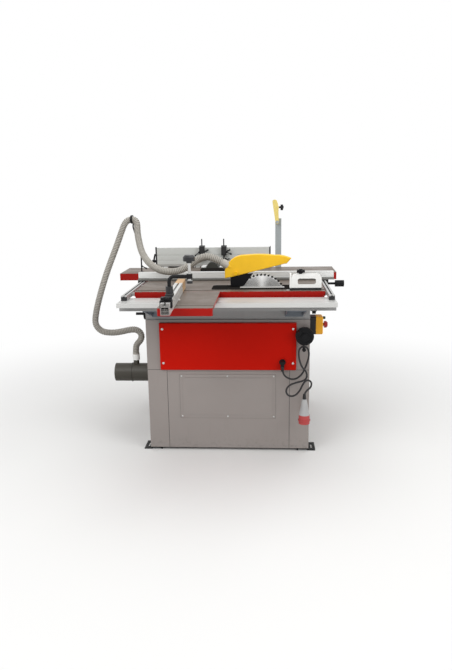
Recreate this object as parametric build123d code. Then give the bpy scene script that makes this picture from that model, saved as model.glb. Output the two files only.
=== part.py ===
"""Combination woodworking machine: saw with sliding table in front, planer and thicknesser behind."""
import math
import os
from build123d import *

# Frame: X to the right, Y to the back, Z up, millimetres. Sizes below are measured from the middle of the
# cabinet's front foot line. SHIFT moves the finished pieces so that the whole stands centred on the origin.
SHIFT = (28, -84.8, 0)

# Main size: the height that the saw, the sliding table and the planer share
TABLE_TOP = 850

# General clearances and sheet
RUN_FIT = 0.05
GAP = 0.3
SHEET = 2.5

# Cabinet
CAB_HALF = 408
CAB_DEPTH = 830
FOOT_H = 15
FRONT_TOP = TABLE_TOP - 160
RECESS = 10
STEP_Y = 545
SHELF_Z = 480
SEAM_X = 309
SEAM_Z = 424
SEAM_W = 2
INNER_SHELF_Z = 236
DECK_LIP_FRONT = 12
DECK_LIP_BACK = 20
RED = (-339, 341, 436, 677)
RED_DEPTH = 15

# Feet
FOOT_OUT = 36
FOOT_IN = 58
FOOT_LEN = 100
FOOT_PLATE = 5
FOOT_INSET = 8
SLOT_LEN = 54
SLOT_W = 9

# Saw table
TABLE_LEFT = -433
TABLE_RIGHT = 470
TABLE_FRONT = -112
TABLE_BACK = 540
TABLE_RIM = 23
TABLE_WEB = 9
TABLE_EDGE = 12
GAUGE_Y = -72
GAUGE_SLOT_W = 19
GAUGE_SLOT_D = 7
GAUGE_X = 355
GAUGE_TOP = TABLE_TOP + 76

# Saw blade, its arbor and lift
BLADE_X = 172
BLADE_Y = 45
BLADE_Z = TABLE_TOP - 61
BLADE_D = 250
BLADE_T = 2.6
TEETH = 40
TOOTH_DEPTH = 9
ARBOR_R = 15
LIFT_UP = 14
LIFT_DOWN = 66
INSERT_LEFT = -72
INSERT_RIGHT = 335
INSERT_FRONT = -56
INSERT_BACK = 92
INSERT_T = 4
BLADE_SLOT_HALF = 7
GUIDE_R = 12
GUIDE_DX = 90
GUIDE_Y = 160
SAW_MOTOR_Z = BLADE_Z - 159
SAW_MOTOR_R = 60
SAW_PULLEY_R = 24
SAW_BELT_Y = 216
SAW_BELT_W = 16
BELT_T = 5

# Splitter and guard
KNIFE_T = 2.5
KNIFE_CHEEK = 9
KNIFE_GAP_R = 134
KNIFE_ARC_Z = TABLE_TOP - 50
PIN_X = 45
PIN_Z = TABLE_TOP + 68
PIN_R = 4
GUARD_HALF = 16
GUARD_WALL = 2.5
GUARD_BEVEL = 4
GUARD_BACK = -10
GUARD_LEN = 325
GUARD_LOW = TABLE_TOP + 42
GUARD_H = 117.5

# Slide rail and sliding table
RAIL_LEFT = -481
RAIL_RIGHT = 508
RAIL_FRONT = -287
RAIL_BACK = -137
RAIL_TOP = TABLE_TOP - 25
RAIL_LIP = 20
RAIL_BOX = 45
RAIL_WALL = 4
BRACKET_X = 330
BRACKET_W = 90
SLIDE_LEFT = -254
SLIDE_RIGHT = -24
SLIDE_FRONT = -533
SLIDE_BACK = -116
SLIDE_T = 12
SLIDE_SKIRT = 33

# Crosscut fence on the sliding table, turned a little about its pivot
PIVOT_X = -207
PIVOT_Y = -335
FENCE_TURN = 2.1
FENCE_W = 36
FENCE_H = 46
FENCE_LIFT = 1
FENCE_FRONT = -690
FENCE_BACK = -145
END_BLOCK = 140
TSLOT_MOUTH = 8
TSLOT_W = 16
TSLOT_D = 11
STOP_Y = -640
CLAMP_Y = -520
CLAMP_ARM_Z = TABLE_TOP + 129
CLAMP_REACH = 84
CLAMP_ROD_R = 7.5
CLAMP_BEND = 22
CLAMP_BASE_H = 42
CLAMP_SCREW_R = 6

# Side rails and rip fence
SIDE_RAIL_W = 25
SIDE_RAIL_TOP = TABLE_TOP - 2
SIDE_RAIL_H = 22
SIDE_RAIL_FRONT = -205
SIDE_RAIL_BACK = 430
SPACERS_Y = (-85, 150, 385)
LEFT_RAIL_X = -474
RIGHT_RAIL_X = 477
RIP_Y = 270
RIP_T = 26
RIP_BOTTOM = TABLE_TOP + 2
RIP_TOP = TABLE_TOP + 43
RIP_KNOB_Z = TABLE_TOP - 22
RIP_KNOB_END = 599

# Planer and thicknesser
PLANER_FRONT = 556
PLANER_BACK = 824
PLANER_LEFT = -655
PLANER_RIGHT = 590
PLANER_T = 40
CUT_X = -118
CUT_GAP = 45
CUT_R = 35
KNIFE_OUT = 1
CHEEK_T = 12
CHEEK_HALF = 170
ROLLER_DX = 75
ROLLER_R = 18
ROLLER_Z = TABLE_TOP - 64
JOURNAL_R = 8
INFEED_DROP = 3
BED_TOP = TABLE_TOP - 150
BED_T = 24
BED_HALF = 250
BED_UP = 60
BED_DOWN = 140
STEM_R = 30
COLUMN_R = 42
MOTOR_R = 75
MOTOR_Z = 330
PULLEY_R = 18
MOTOR_PULLEY_R = 38
BELT_Y = 505
BELT_W = 24
CUT_Z = TABLE_TOP - CUT_R - KNIFE_OUT
BED_Y = (PLANER_FRONT + PLANER_BACK) / 2
OUTFEED_END = CUT_X - CUT_GAP
INFEED_END = CUT_X + CUT_GAP
PLANER_LOW = TABLE_TOP - PLANER_T

# Planer fence, pressers, hood and guard post
PF_LEFT = -486
PF_RIGHT = 215
PF_FRONT = 826
PF_T = 24
PF_BOTTOM = TABLE_TOP + 5
PF_TOP = PF_BOTTOM + 116
PF_CAP = 4
HINGE_Y = 840
HINGE_Z = TABLE_TOP - 4
HINGE_R = 6
HINGES_X = (-430, -230)
LEVER_Y = PF_FRONT + 14.5
LEVER_Z = PF_BOTTOM + 33
LEVER_STEM_R = 4
PRESSER_X = (-200, -66)
PRESSER_Y = 808
PRESSER_R = 3.5
HOOD_HALF = 69
HOOD_DOME_R = 33
HOOD_BASE_H = 28
HOOD_FRONT = 570
HOOD_LEN = 130
POST_X = 265
POST_W = 36
POST_TOP = TABLE_TOP + 291
ARM_X = 258
ARM_Z = POST_TOP - 19

# Dust port, hose and hose holder
PORT_Y = 300
PORT_Z = 333
PORT_R = 50
PORT_WALL = 2.5
PORT_END = -644
SPIGOT_LEN = 92
STUB_X = -528
STUB_R = 16
COLLAR_BOTTOM = 405
COLLAR_TOP = 437
HOSE_R = 18
HOSE_VALLEY = 15.5
HOSE_BORE = 13.5
HOSE_RIBS = 32
HOLDER_R = 4

# Controls on the cabinet
WHEEL_X = 380
WHEEL_Z = 616
WHEEL_R = 45
WHEEL_Y = -44
LOCK_X = 376
LOCK_Z = 555
LOCK_STEM_R = 4
SIDE_WHEEL_Y = 80
SIDE_WHEEL_Z = 708
SIDE_WHEEL_R = 31
SWITCH_Y = 80
SWITCH_Z = 650
SWITCH_HALF_Y = 35
SWITCH_HALF_Z = 45
SIDE_KNOB_Y = 50
SIDE_KNOB_Z = 731
SHAFT_R = 8
SWITCH_X = CAB_HALF
STOP_R = 17
STOP_STEM_R = 8
START_R = 7
START_Z = SWITCH_Z + 34

# Supply cable
CABLE_R = 4.5
GLAND_X = 273
GLAND_Y = -32
GLAND_Z = 478
PLUG_LEN = 125
PLUG_HANDLE = 80
PLUG_R = 27

# Route of the hose, from the guard's nozzle over the ring to the collar of the dust port.
# The first stretch is given in heights above the table, the second in heights above the floor.
HOSE_OVER_TABLE = [
    (-15, 45, 116), (-70, 45, 148), (-122, 66, 146), (-168, 84, 116), (-218, 92, 82), (-275, 98, 66),
    (-346, 128, 70), (-416, 204, 98), (-472, 304, 145), (-503, 387, 210), (-514, 421, 254),
    (-516, 440, 296), (-533, 451, 314), (-561, 453, 314), (-586, 446, 297), (-606, 434, 246),
]
HOSE_BESIDE = [
    (-636, 414, 1012), (-684, 382, 890), (-724, 348, 760), (-748, 324, 660), (-752, 312, 600),
    (-715, 304, 562), (-655, 301, 556), (-590, 300, 566), (-524, 300, 578), (-490, 300, 560),
    (-500, 300, 520), (-528, 300, 488), (-528, 300, 437),
]
HOSE_ROUTE = [(x, y, TABLE_TOP + z) for x, y, z in HOSE_OVER_TABLE] + HOSE_BESIDE

# Route of the hose holder's rod, from the outfeed table up to the ring, in heights above the table
HOLDER_RISE = [(-530, 575, 0), (-530, 575, 40), (-515, 500, 135), (-548, 476, 270), (-546, 474, 295)]
HOLDER_ROUTE = [(x, y, TABLE_TOP + z) for x, y, z in HOLDER_RISE]

# Route of the cable, from the gland through its hank over the lock knob to the plug
CABLE_ROUTE = [
    (273, -32, 460), (273, -32, 428), (294, -33, 402), (334, -35, 393), (368, -38, 420), (387, -40, 462),
    (402, -42, 512), (401, -44, 546), (387, -46, 566.5), (364, -48, 566.5), (350, -50, 546), (353, -51, 505),
    (366, -53, 465), (388, -56, 444), (394, -59, 416), (378, -62, 397), (340, -66, 389), (304, -70, 376),
    (287, -73, 348), (300, -75, 322), (332, -77, 322), (358, -80, 352), (372, -82, 388), (391, -84, 410),
    (413, -86, 400), (412, -88, 374), (388, -90, 354), (379, -90, 336), (379, -90, 312),
]


def block(x0, x1, y0, y1, z0, z1):
    """Box between two opposite corners."""
    return Pos((x0 + x1) / 2, (y0 + y1) / 2, (z0 + z1) / 2) * Box(x1 - x0, y1 - y0, z1 - z0)


def rod_x(x0, x1, y, z, r):
    """Round bar along X."""
    return Pos((x0 + x1) / 2, y, z) * Rot(0, 90, 0) * Cylinder(r, x1 - x0)


def rod_y(x, y0, y1, z, r):
    """Round bar along Y."""
    return Pos(x, (y0 + y1) / 2, z) * Rot(90, 0, 0) * Cylinder(r, y1 - y0)


def rod_z(x, y, z0, z1, r):
    """Round bar along Z."""
    return Pos(x, y, (z0 + z1) / 2) * Cylinder(r, z1 - z0)


def along_x(points, x0, x1):
    """Closed outline of (y, z) points drawn out along X."""
    face = make_face(Polyline(*[(x0, y, z) for y, z in points], close=True))
    return extrude(face, amount=x1 - x0, dir=(1, 0, 0))


def along_y(points, y0, y1):
    """Closed outline of (x, z) points drawn out along Y."""
    face = make_face(Polyline(*[(x, y0, z) for x, z in points], close=True))
    return extrude(face, amount=y1 - y0, dir=(0, 1, 0))


def along_z(points, z0, z1):
    """Closed outline of (x, y) points drawn out along Z."""
    face = make_face(Polyline(*[(x, y, z0) for x, y in points], close=True))
    return extrude(face, amount=z1 - z0, dir=(0, 0, 1))


def star(r, h, lobes=5):
    """Star knob on the XY plane: a disc with round lobes and a boss, its head up to h."""
    lobe_r = 0.34 * r
    head = Cylinder(0.76 * r, 0.6 * h, align=(Align.CENTER, Align.CENTER, Align.MIN))
    for i in range(lobes):
        a = 2 * math.pi * i / lobes
        lobe = Cylinder(lobe_r, 0.6 * h, align=(Align.CENTER, Align.CENTER, Align.MIN))
        head += Pos((r - lobe_r) * math.cos(a), (r - lobe_r) * math.sin(a), 0) * lobe
    cap = Cone(0.5 * r, 0.36 * r, 0.16 * h, align=(Align.CENTER, Align.CENTER, Align.MIN))
    boss = Cylinder(0.36 * r, 0.24 * h, align=(Align.CENTER, Align.CENTER, Align.MIN))
    return boss + Pos(0, 0, 0.24 * h) * head + Pos(0, 0, 0.84 * h) * cap


def group(*shapes):
    """Several loose solids kept together as one piece."""
    return Compound([solid for shape in shapes for solid in shape.solids()])


def turned(shape, x, y, angle):
    """Shape turned about an upright axis at x, y."""
    return Pos(x, y, 0) * Rot(0, 0, angle) * Pos(-x, -y, 0) * shape


def bend_radii(points):
    """For each corner of a route, the largest arc that its two runs leave room for."""
    v = [Vector(*p) for p in points]
    out = []
    for a, b, c in zip(v, v[1:], v[2:]):
        turn = math.radians((b - a).get_angle(c - b))
        out.append(0.45 * min((b - a).length, (c - b).length) / math.tan(turn / 2))
    return out


def tube_path(name, points):
    """Straight runs joined by tangent arcs. Prints the bend radii and the length."""
    radii = bend_radii(points)
    path = FilletPolyline(*points, radius=radii)
    print(name, "radii", [round(r) for r in radii], "length", round(path.length))
    return path


def least_self_gap(path, radius, step):
    """Least clear distance between stretches of a tube that aren't neighbours."""
    count = int(path.length / step)
    pts = [path @ (i / count) for i in range(count + 1)]
    skip = int(6 * radius / step) + 1
    near = min((pts[i] - pts[j]).length for i in range(len(pts)) for j in range(i + skip, len(pts)))
    return near - 2 * radius


# Frame and covers
def base_cabinet():
    """Folded sheet cabinet, stepped down at the back, open below and above."""
    deck = TABLE_TOP - TABLE_RIM
    outer = [(0, FOOT_H), (CAB_DEPTH, FOOT_H), (CAB_DEPTH, SHELF_Z), (STEP_Y, SHELF_Z), (STEP_Y, deck),
             (RECESS, deck), (RECESS, FRONT_TOP), (0, FRONT_TOP)]
    t = SHEET
    inner = [(t, FOOT_H + t), (CAB_DEPTH - t, FOOT_H + t), (CAB_DEPTH - t, SHELF_Z - t),
             (STEP_Y - t, SHELF_Z - t), (STEP_Y - t, deck - t), (RECESS + t, deck - t),
             (RECESS + t, FRONT_TOP - t), (t, FRONT_TOP - t)]
    body = along_x(outer, -CAB_HALF, CAB_HALF)
    body -= along_x(inner, SHEET - CAB_HALF, CAB_HALF - SHEET)
    flange = 30
    side = CAB_HALF - flange
    body -= block(-side, side, RECESS + DECK_LIP_FRONT, STEP_Y - DECK_LIP_BACK, deck - 9, deck + 1)
    body -= block(-side, side, flange, CAB_DEPTH - flange, FOOT_H - 1, FOOT_H + 9)
    # openings behind the two front covers
    body -= block(-SEAM_X + 89, SEAM_X - 89, -1, 9, 205, 385)
    body -= block(-300, 300, -1, 9, 465, 650)
    # pressed seams of the front sheet
    for side in (-1, 1):
        body -= block(side * SEAM_X - SEAM_W / 2, side * SEAM_X + SEAM_W / 2, -1, 1, FOOT_H, SEAM_Z)
    body -= block(-SEAM_X, SEAM_X, -1, 1, SEAM_Z - SEAM_W / 2, SEAM_Z + SEAM_W / 2)
    # holes for the dust port, the shafts, the cutterblock and the bed column
    body -= rod_x(-CAB_HALF - 1, 9 - CAB_HALF, PORT_Y, PORT_Z, PORT_R - PORT_WALL)
    body -= rod_x(-CAB_HALF - 1, 9 - CAB_HALF, SIDE_WHEEL_Y, SIDE_WHEEL_Z, SHAFT_R + RUN_FIT)
    body -= rod_y(WHEEL_X, -1, 9, WHEEL_Z, SHAFT_R + RUN_FIT)
    body -= rod_y(LOCK_X, -1, 9, LOCK_Z, LOCK_STEM_R + RUN_FIT)
    body -= rod_x(CAB_HALF - 9, CAB_HALF + 1, SIDE_KNOB_Y, SIDE_KNOB_Z, JOURNAL_R / 2 + RUN_FIT)
    body -= rod_y(CUT_X, STEP_Y - 45, STEP_Y + 1, CUT_Z, CUT_R)
    body -= rod_z(CUT_X, (PLANER_FRONT + PLANER_BACK) / 2, SHELF_Z - 9, SHELF_Z + 1, COLUMN_R + GAP)
    shelf = block(SHEET - CAB_HALF, CAB_HALF - SHEET, 300, 480, INNER_SHELF_Z, INNER_SHELF_Z + 4)
    return body + shelf


def access_cover():
    """Lower cover plate with a pressed raised field, over the opening in the front sheet."""
    x0, x1, z0, z1 = -245, 239, 178, 410
    plate = fillet(block(x0, x1, -2, 0, z0, z1).edges().filter_by(Axis.Y), 6)
    field = fillet(block(x0 + 14, x1 - 14, -4, -2, z0 + 18, z1 - 18).edges().filter_by(Axis.Y), 14)
    return plate + field


def red_cover():
    """Red pan-shaped cover of the saw unit, its rim flat on the cabinet."""
    x0, x1, z0, z1 = RED
    pan = fillet(block(x0, x1, -RED_DEPTH, 0, z0, z1).edges().filter_by(Axis.Y), 4)
    pan = chamfer(pan.faces().sort_by(Axis.Y)[0].edges(), 3)
    pan -= block(x0 + 2, x1 - 2, -RED_DEPTH + 2, 1, z0 + 2, z1 - 2)
    return pan


def foot_brackets():
    """Four bent plates: a tab on the floor with a slot, and a channel under the cabinet's corner."""
    t = FOOT_PLATE
    feet = []
    for side in (-1, 1):
        outline = [(-FOOT_IN, 0), (t - FOOT_IN, 0), (t - FOOT_IN, FOOT_H - t), (-t, FOOT_H - t), (-t, 0),
                   (FOOT_OUT, 0), (FOOT_OUT, t), (0, t), (0, FOOT_H), (-FOOT_IN, FOOT_H)]
        for y in (FOOT_INSET, CAB_DEPTH - FOOT_INSET - FOOT_LEN):
            foot = along_y([(side * (CAB_HALF + x), z) for x, z in outline], y, y + FOOT_LEN)
            slot = SlotOverall(SLOT_LEN, SLOT_W, rotation=90)
            x = side * (CAB_HALF + FOOT_OUT / 2)
            foot -= extrude(Pos(x, y + FOOT_LEN / 2, -1) * slot, amount=t + 2)
            feet.append(foot)
    return group(*feet)


# Saw table and its rails
def saw_table():
    """Cast table: thin web, deep rim, cross ribs, the insert's opening and the gauge slot."""
    web = TABLE_TOP - TABLE_WEB
    low = TABLE_TOP - TABLE_RIM
    table = block(TABLE_LEFT, TABLE_RIGHT, TABLE_FRONT, TABLE_BACK, low, TABLE_TOP)
    table = fillet(table.edges().filter_by(Axis.Z), 6)
    pocket = block(TABLE_LEFT + TABLE_EDGE, TABLE_RIGHT - TABLE_EDGE, TABLE_FRONT + TABLE_EDGE,
                   TABLE_BACK - TABLE_EDGE, low - 1, web)
    for x in (-290, -150, 400):
        pocket -= block(x - 5, x + 5, TABLE_FRONT, TABLE_BACK, low - 2, web + 1)
    pocket -= block(TABLE_LEFT, TABLE_RIGHT, 300, 310, low - 2, web + 1)
    keel = GAUGE_SLOT_W / 2 + 6
    pocket -= block(TABLE_LEFT, TABLE_RIGHT, GAUGE_Y - keel, GAUGE_Y + keel, web - 6, web + 1)
    frame = 14
    pocket -= block(INSERT_LEFT - frame, INSERT_RIGHT + frame, INSERT_FRONT - frame, INSERT_BACK + frame,
                    web - 4, web + 1)
    table -= pocket
    half = GAUGE_SLOT_W / 2
    table -= block(TABLE_LEFT - 1, TABLE_RIGHT + 1, GAUGE_Y - half, GAUGE_Y + half,
                   TABLE_TOP - GAUGE_SLOT_D, TABLE_TOP + 1)
    seat = block(INSERT_LEFT, INSERT_RIGHT, INSERT_FRONT, INSERT_BACK, TABLE_TOP - INSERT_T, TABLE_TOP + 1)
    table -= fillet(seat.edges().filter_by(Axis.Z), 20)
    land = 12
    hole = block(INSERT_LEFT + land, INSERT_RIGHT - land, INSERT_FRONT + land, INSERT_BACK - land,
                 low - 1, TABLE_TOP)
    return table - hole


def table_insert():
    """Dark insert plate with the blade's slot, resting in the table's seat."""
    fit = 0.2
    plate = block(INSERT_LEFT + fit, INSERT_RIGHT - fit, INSERT_FRONT + fit, INSERT_BACK - fit,
                  TABLE_TOP - INSERT_T, TABLE_TOP)
    plate = fillet(plate.edges().filter_by(Axis.Z), 20 - fit)
    slot = block(BLADE_X - 167, INSERT_RIGHT - 12, BLADE_Y - BLADE_SLOT_HALF, BLADE_Y + BLADE_SLOT_HALF,
                 TABLE_TOP - INSERT_T - 1, TABLE_TOP + 1)
    return plate - fillet(slot.edges().filter_by(Axis.Z), BLADE_SLOT_HALF - 1)


def side_rails():
    """Two front-to-back bars beside the table, on spacers, each with a groove and a plastic front cap."""
    top, low = SIDE_RAIL_TOP, SIDE_RAIL_TOP - SIDE_RAIL_H
    front, back = SIDE_RAIL_FRONT, SIDE_RAIL_BACK
    pieces = []
    for x0, inner, edge in ((LEFT_RAIL_X, LEFT_RAIL_X + SIDE_RAIL_W, TABLE_LEFT),
                            (RIGHT_RAIL_X, RIGHT_RAIL_X, TABLE_RIGHT)):
        bar = block(x0, x0 + SIDE_RAIL_W, front, back, low, top)
        mid = x0 + SIDE_RAIL_W / 2
        bar -= block(mid - 4, mid + 4, front - 1, back + 1, top - 5, top + 1)
        for y in SPACERS_Y:
            bar += block(min(inner, edge), max(inner, edge), y - 15, y + 15, low + 3, top - 6)
        cap = block(x0 - 1, x0 + SIDE_RAIL_W + 1, front - 8, front, low - 1, top + 1)
        pieces += [bar, fillet(cap.edges().filter_by(Axis.Y), 3)]
    return group(*pieces)


def slide_rail():
    """Aluminium rail: wide top with a front lip and a hollow box under it, and two shallow ways on top."""
    t = RAIL_WALL
    top, lip, box = RAIL_TOP, RAIL_TOP - RAIL_LIP, RAIL_TOP - RAIL_BOX
    front, back = RAIL_FRONT, RAIL_BACK
    box_front = front + 55
    outline = [(front, lip), (front + 8, lip), (front + 8, top - 6), (box_front, top - 6), (box_front, box),
               (back, box), (back, top), (front, top)]
    rail = along_x(outline, RAIL_LEFT, RAIL_RIGHT)
    rail -= block(RAIL_LEFT - 1, RAIL_RIGHT + 1, box_front + t, back - t, box + t, top - 6)
    for y in (front + 26, back - 26):
        rail -= block(RAIL_LEFT - 1, RAIL_RIGHT + 1, y - 5, y + 5, top - 2, top + 1)
    return rail


def rail_brackets():
    """Two gusseted steel brackets that carry the slide rail on the cabinet's front."""
    low = RAIL_TOP - RAIL_BOX
    parts = []
    for side in (-1, 1):
        x0 = side * BRACKET_X - BRACKET_W / 2
        x1 = x0 + BRACKET_W
        wall = block(x0, x1, RECESS - 6, RECESS, low - 75, low)
        arm = block(x0, x1, RAIL_FRONT + 62, RECESS, low - 6, low)
        piece = wall + arm
        for x in (x0, x1 - 5):
            gusset = [(RECESS - 6, low - 6), (RECESS - 6, low - 70), (RAIL_FRONT + 70, low - 6)]
            piece += along_x(gusset, x, x + 5)
        parts.append(piece)
    return group(*parts)


# Saw unit
def saw_blade():
    """Saw blade with hooked teeth, a bore for the arbor and four slots against heat."""
    r = BLADE_D / 2
    root = r - TOOTH_DEPTH
    step = 2 * math.pi / TEETH
    outline = []
    for i in range(TEETH):
        for radius, share in ((r, 0.0), (r - 2.5, 0.32), (root, 0.72), (root + 1, 0.96)):
            a = step * (i + share)
            outline.append((BLADE_X + radius * math.cos(a), BLADE_Z + radius * math.sin(a)))
    blade = along_y(outline, BLADE_Y - BLADE_T / 2, BLADE_Y + BLADE_T / 2)
    for i in range(4):
        slot = Pos(BLADE_X, BLADE_Y, BLADE_Z) * Rot(0, 45 + 90 * i, 0) * Pos(root - 12, 0, 0)
        blade -= slot * Box(26, BLADE_T + 2, 1.6)
    return blade - rod_y(BLADE_X, BLADE_Y - BLADE_T, BLADE_Y + BLADE_T, BLADE_Z, ARBOR_R)


def saw_arbor():
    """Arbor with its two blade flanges, nut and belt pulley."""
    half = BLADE_T / 2
    shaft = rod_y(BLADE_X, BLADE_Y - 26, SAW_BELT_Y + SAW_BELT_W / 2 + 4, BLADE_Z, ARBOR_R)
    shaft += rod_y(BLADE_X, BLADE_Y + half, BLADE_Y + half + 6, BLADE_Z, 34)
    shaft += rod_y(BLADE_X, BLADE_Y - half - 6, BLADE_Y - half, BLADE_Z, 34)
    seat = Plane((BLADE_X, BLADE_Y - half - 6, BLADE_Z), z_dir=(0, -1, 0))
    nut = extrude(seat * RegularPolygon(22, 6), amount=13)
    return shaft + nut + grooved_pulley(BLADE_X, BLADE_Z, SAW_PULLEY_R, SAW_BELT_Y, SAW_BELT_W)


def saw_carriage():
    """Carriage with the arbor housing, two guide bores and the motor plate."""
    half = GUIDE_DX + 26
    body = block(BLADE_X - half, BLADE_X + half, GUIDE_Y - 25, GUIDE_Y + 25, BLADE_Z - 45, BLADE_Z + 18)
    body = fillet(body.edges().filter_by(Axis.Z), 10)
    body += rod_y(BLADE_X, BLADE_Y + 12, SAW_BELT_Y - SAW_BELT_W / 2 - 6, BLADE_Z, 25)
    plate_bottom = SAW_MOTOR_Z - 40
    body += block(BLADE_X - 55, BLADE_X + 55, GUIDE_Y - 5, GUIDE_Y + 7, plate_bottom, BLADE_Z - 40)
    body -= rod_y(BLADE_X, BLADE_Y, SAW_BELT_Y, BLADE_Z, ARBOR_R + RUN_FIT)
    body -= rod_y(BLADE_X, GUIDE_Y - 9, GUIDE_Y + 9, SAW_MOTOR_Z, 20)
    for side in (-1, 1):
        body -= rod_z(BLADE_X + side * GUIDE_DX, GUIDE_Y, BLADE_Z - 60, BLADE_Z + 30, GUIDE_R + RUN_FIT)
    return body


def saw_column():
    """Two guide bars between a plate under the table and a lower tie plate."""
    top = TABLE_TOP - TABLE_WEB
    low = SAW_MOTOR_Z - SAW_MOTOR_R - LIFT_DOWN - 10
    frame = block(BLADE_X - GUIDE_DX - 25, BLADE_X + GUIDE_DX + 25, GUIDE_Y - 20, GUIDE_Y + 20, top - 8, top)
    for side in (-1, 1):
        frame += rod_z(BLADE_X + side * GUIDE_DX, GUIDE_Y, low, top - 8, GUIDE_R)
    half = GUIDE_DX + 22
    return frame + block(BLADE_X - half, BLADE_X + half, GUIDE_Y - 18, GUIDE_Y + 18, low - 8, low)


def saw_motor():
    """Ribbed motor body on the carriage's plate, with its end bells."""
    y1 = GUIDE_Y - 5
    y0 = y1 - 105
    motor = rod_y(BLADE_X, y0 + 12, y1, SAW_MOTOR_Z, SAW_MOTOR_R - 5)
    motor += rod_y(BLADE_X, y0, y0 + 12, SAW_MOTOR_Z, SAW_MOTOR_R - 12)
    rib = block(SAW_MOTOR_R - 8, SAW_MOTOR_R, y0 + 20, y1 - 8, -2, 2)
    for i in range(12):
        motor += Pos(BLADE_X, 0, SAW_MOTOR_Z) * Rot(0, 30 * i, 0) * rib
    return motor - rod_y(BLADE_X, y1 - 30, y1 + 1, SAW_MOTOR_Z, JOURNAL_R + RUN_FIT)


def grooved_pulley(x, z, r, y_mid, width):
    """Flat-belt pulley with two flanges, its axis along Y."""
    wheel = rod_y(x, y_mid - width / 2 - 3, y_mid + width / 2 + 3, z, r + 6)
    groove = rod_y(x, y_mid - width / 2 - 0.5, y_mid + width / 2 + 0.5, z, r + 7)
    return wheel - (groove - rod_y(x, y_mid - width, y_mid + width, z, r))


def saw_motor_pulley():
    shaft = rod_y(BLADE_X, GUIDE_Y - 30, SAW_BELT_Y - 8, SAW_MOTOR_Z, JOURNAL_R)
    return shaft + grooved_pulley(BLADE_X, SAW_MOTOR_Z, SAW_PULLEY_R, SAW_BELT_Y, SAW_BELT_W)


def belt(x, z_low, r_low, z_high, r_high, y_mid, width):
    """Belt round two pulleys whose axes are along Y, one above the other."""
    def loop(extra):
        low, high = r_low + extra, r_high + extra
        tilt = math.asin((low - high) / (z_high - z_low))
        c, s = math.cos(tilt), math.sin(tilt)
        right_low, right_high = (x + low * c, z_low + low * s), (x + high * c, z_high + high * s)
        left_low, left_high = (x - low * c, z_low + low * s), (x - high * c, z_high + high * s)
        a, b, top, c, d, bottom = [(px, y_mid - width / 2, pz) for px, pz in (
            right_low, right_high, (x, z_high + high), left_high, left_low, (x, z_low - low))]
        edges = [Line(a, b), ThreePointArc(b, top, c), Line(c, d), ThreePointArc(d, bottom, a)]
        return extrude(make_face(Curve() + edges), amount=width, dir=(0, 1, 0))
    return loop(GAP + BELT_T) - loop(GAP)


def saw_belt():
    return belt(BLADE_X, SAW_MOTOR_Z, SAW_PULLEY_R, BLADE_Z, SAW_PULLEY_R, SAW_BELT_Y, SAW_BELT_W - 1)


def riving_knife():
    """Splitter behind the blade with its bracket under the table and the guard's pin."""
    y0, y1 = BLADE_Y - KNIFE_T / 2, BLADE_Y + KNIFE_T / 2
    low, high = KNIFE_ARC_Z, TABLE_TOP + 86
    outline = [(17, low), (60, low), (130, high), (95, high + 2), (60, high - 10), (17, high - 30)]
    plate = along_y(outline, y0, y1)
    plate -= rod_y(BLADE_X, y0 - 1, y1 + 1, KNIFE_ARC_Z, KNIFE_GAP_R)
    foot, crown = TABLE_TOP + 4, TABLE_TOP + 67
    cheek = along_y([(18, foot), (83, foot), (129, crown), (23, crown - 13)], y0 - KNIFE_CHEEK, y0 - 4)
    plate += cheek + block(20, 40, y0 - 5, y0 + 1, foot + 6, foot + 40)
    under = TABLE_TOP - TABLE_WEB - 4
    arm_end = INSERT_BACK + 12
    bracket = block(17, 34, y1, arm_end, KNIFE_ARC_Z + 2, KNIFE_ARC_Z + 12)
    bracket += block(8, 44, INSERT_BACK - 8, arm_end, KNIFE_ARC_Z + 2, under)
    pin = rod_y(PIN_X, BLADE_Y - GUARD_HALF - 2, BLADE_Y + GUARD_HALF + 2, PIN_Z, PIN_R)
    heads = rod_y(PIN_X, BLADE_Y - GUARD_HALF - 10, BLADE_Y - GUARD_HALF - 1, PIN_Z, 9)
    heads += rod_y(PIN_X, BLADE_Y + GUARD_HALF + 1, BLADE_Y + GUARD_HALF + 6, PIN_Z, 8)
    return plate + bracket + pin + heads


def guard_point(u, v, y):
    """Place on the guard's side, in shares of its length and height."""
    return (GUARD_BACK + u * GUARD_LEN, y, GUARD_LOW + v * GUARD_H)


def guard_outline(y):
    """Side outline of the guard: flat rear, rounded crown, slanted front and lower edge."""
    heel, back, shoulder, crown, ridge, brow, cheek, tip, chin, bend = [guard_point(u, v, y) for u, v in (
        (0, 0), (0, 0.306), (0.098, 0.766), (0.308, 0.97), (0.548, 1), (0.763, 0.953), (0.923, 0.902),
        (1, 0.817), (0.932, 0.604), (0.102, 0.043))]
    edges = [Line(heel, back), ThreePointArc(back, shoulder, crown), ThreePointArc(crown, ridge, brow),
             ThreePointArc(brow, cheek, tip), Line(tip, chin), Line(chin, bend), Line(bend, heel)]
    return make_face(Curve() + edges)


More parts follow.
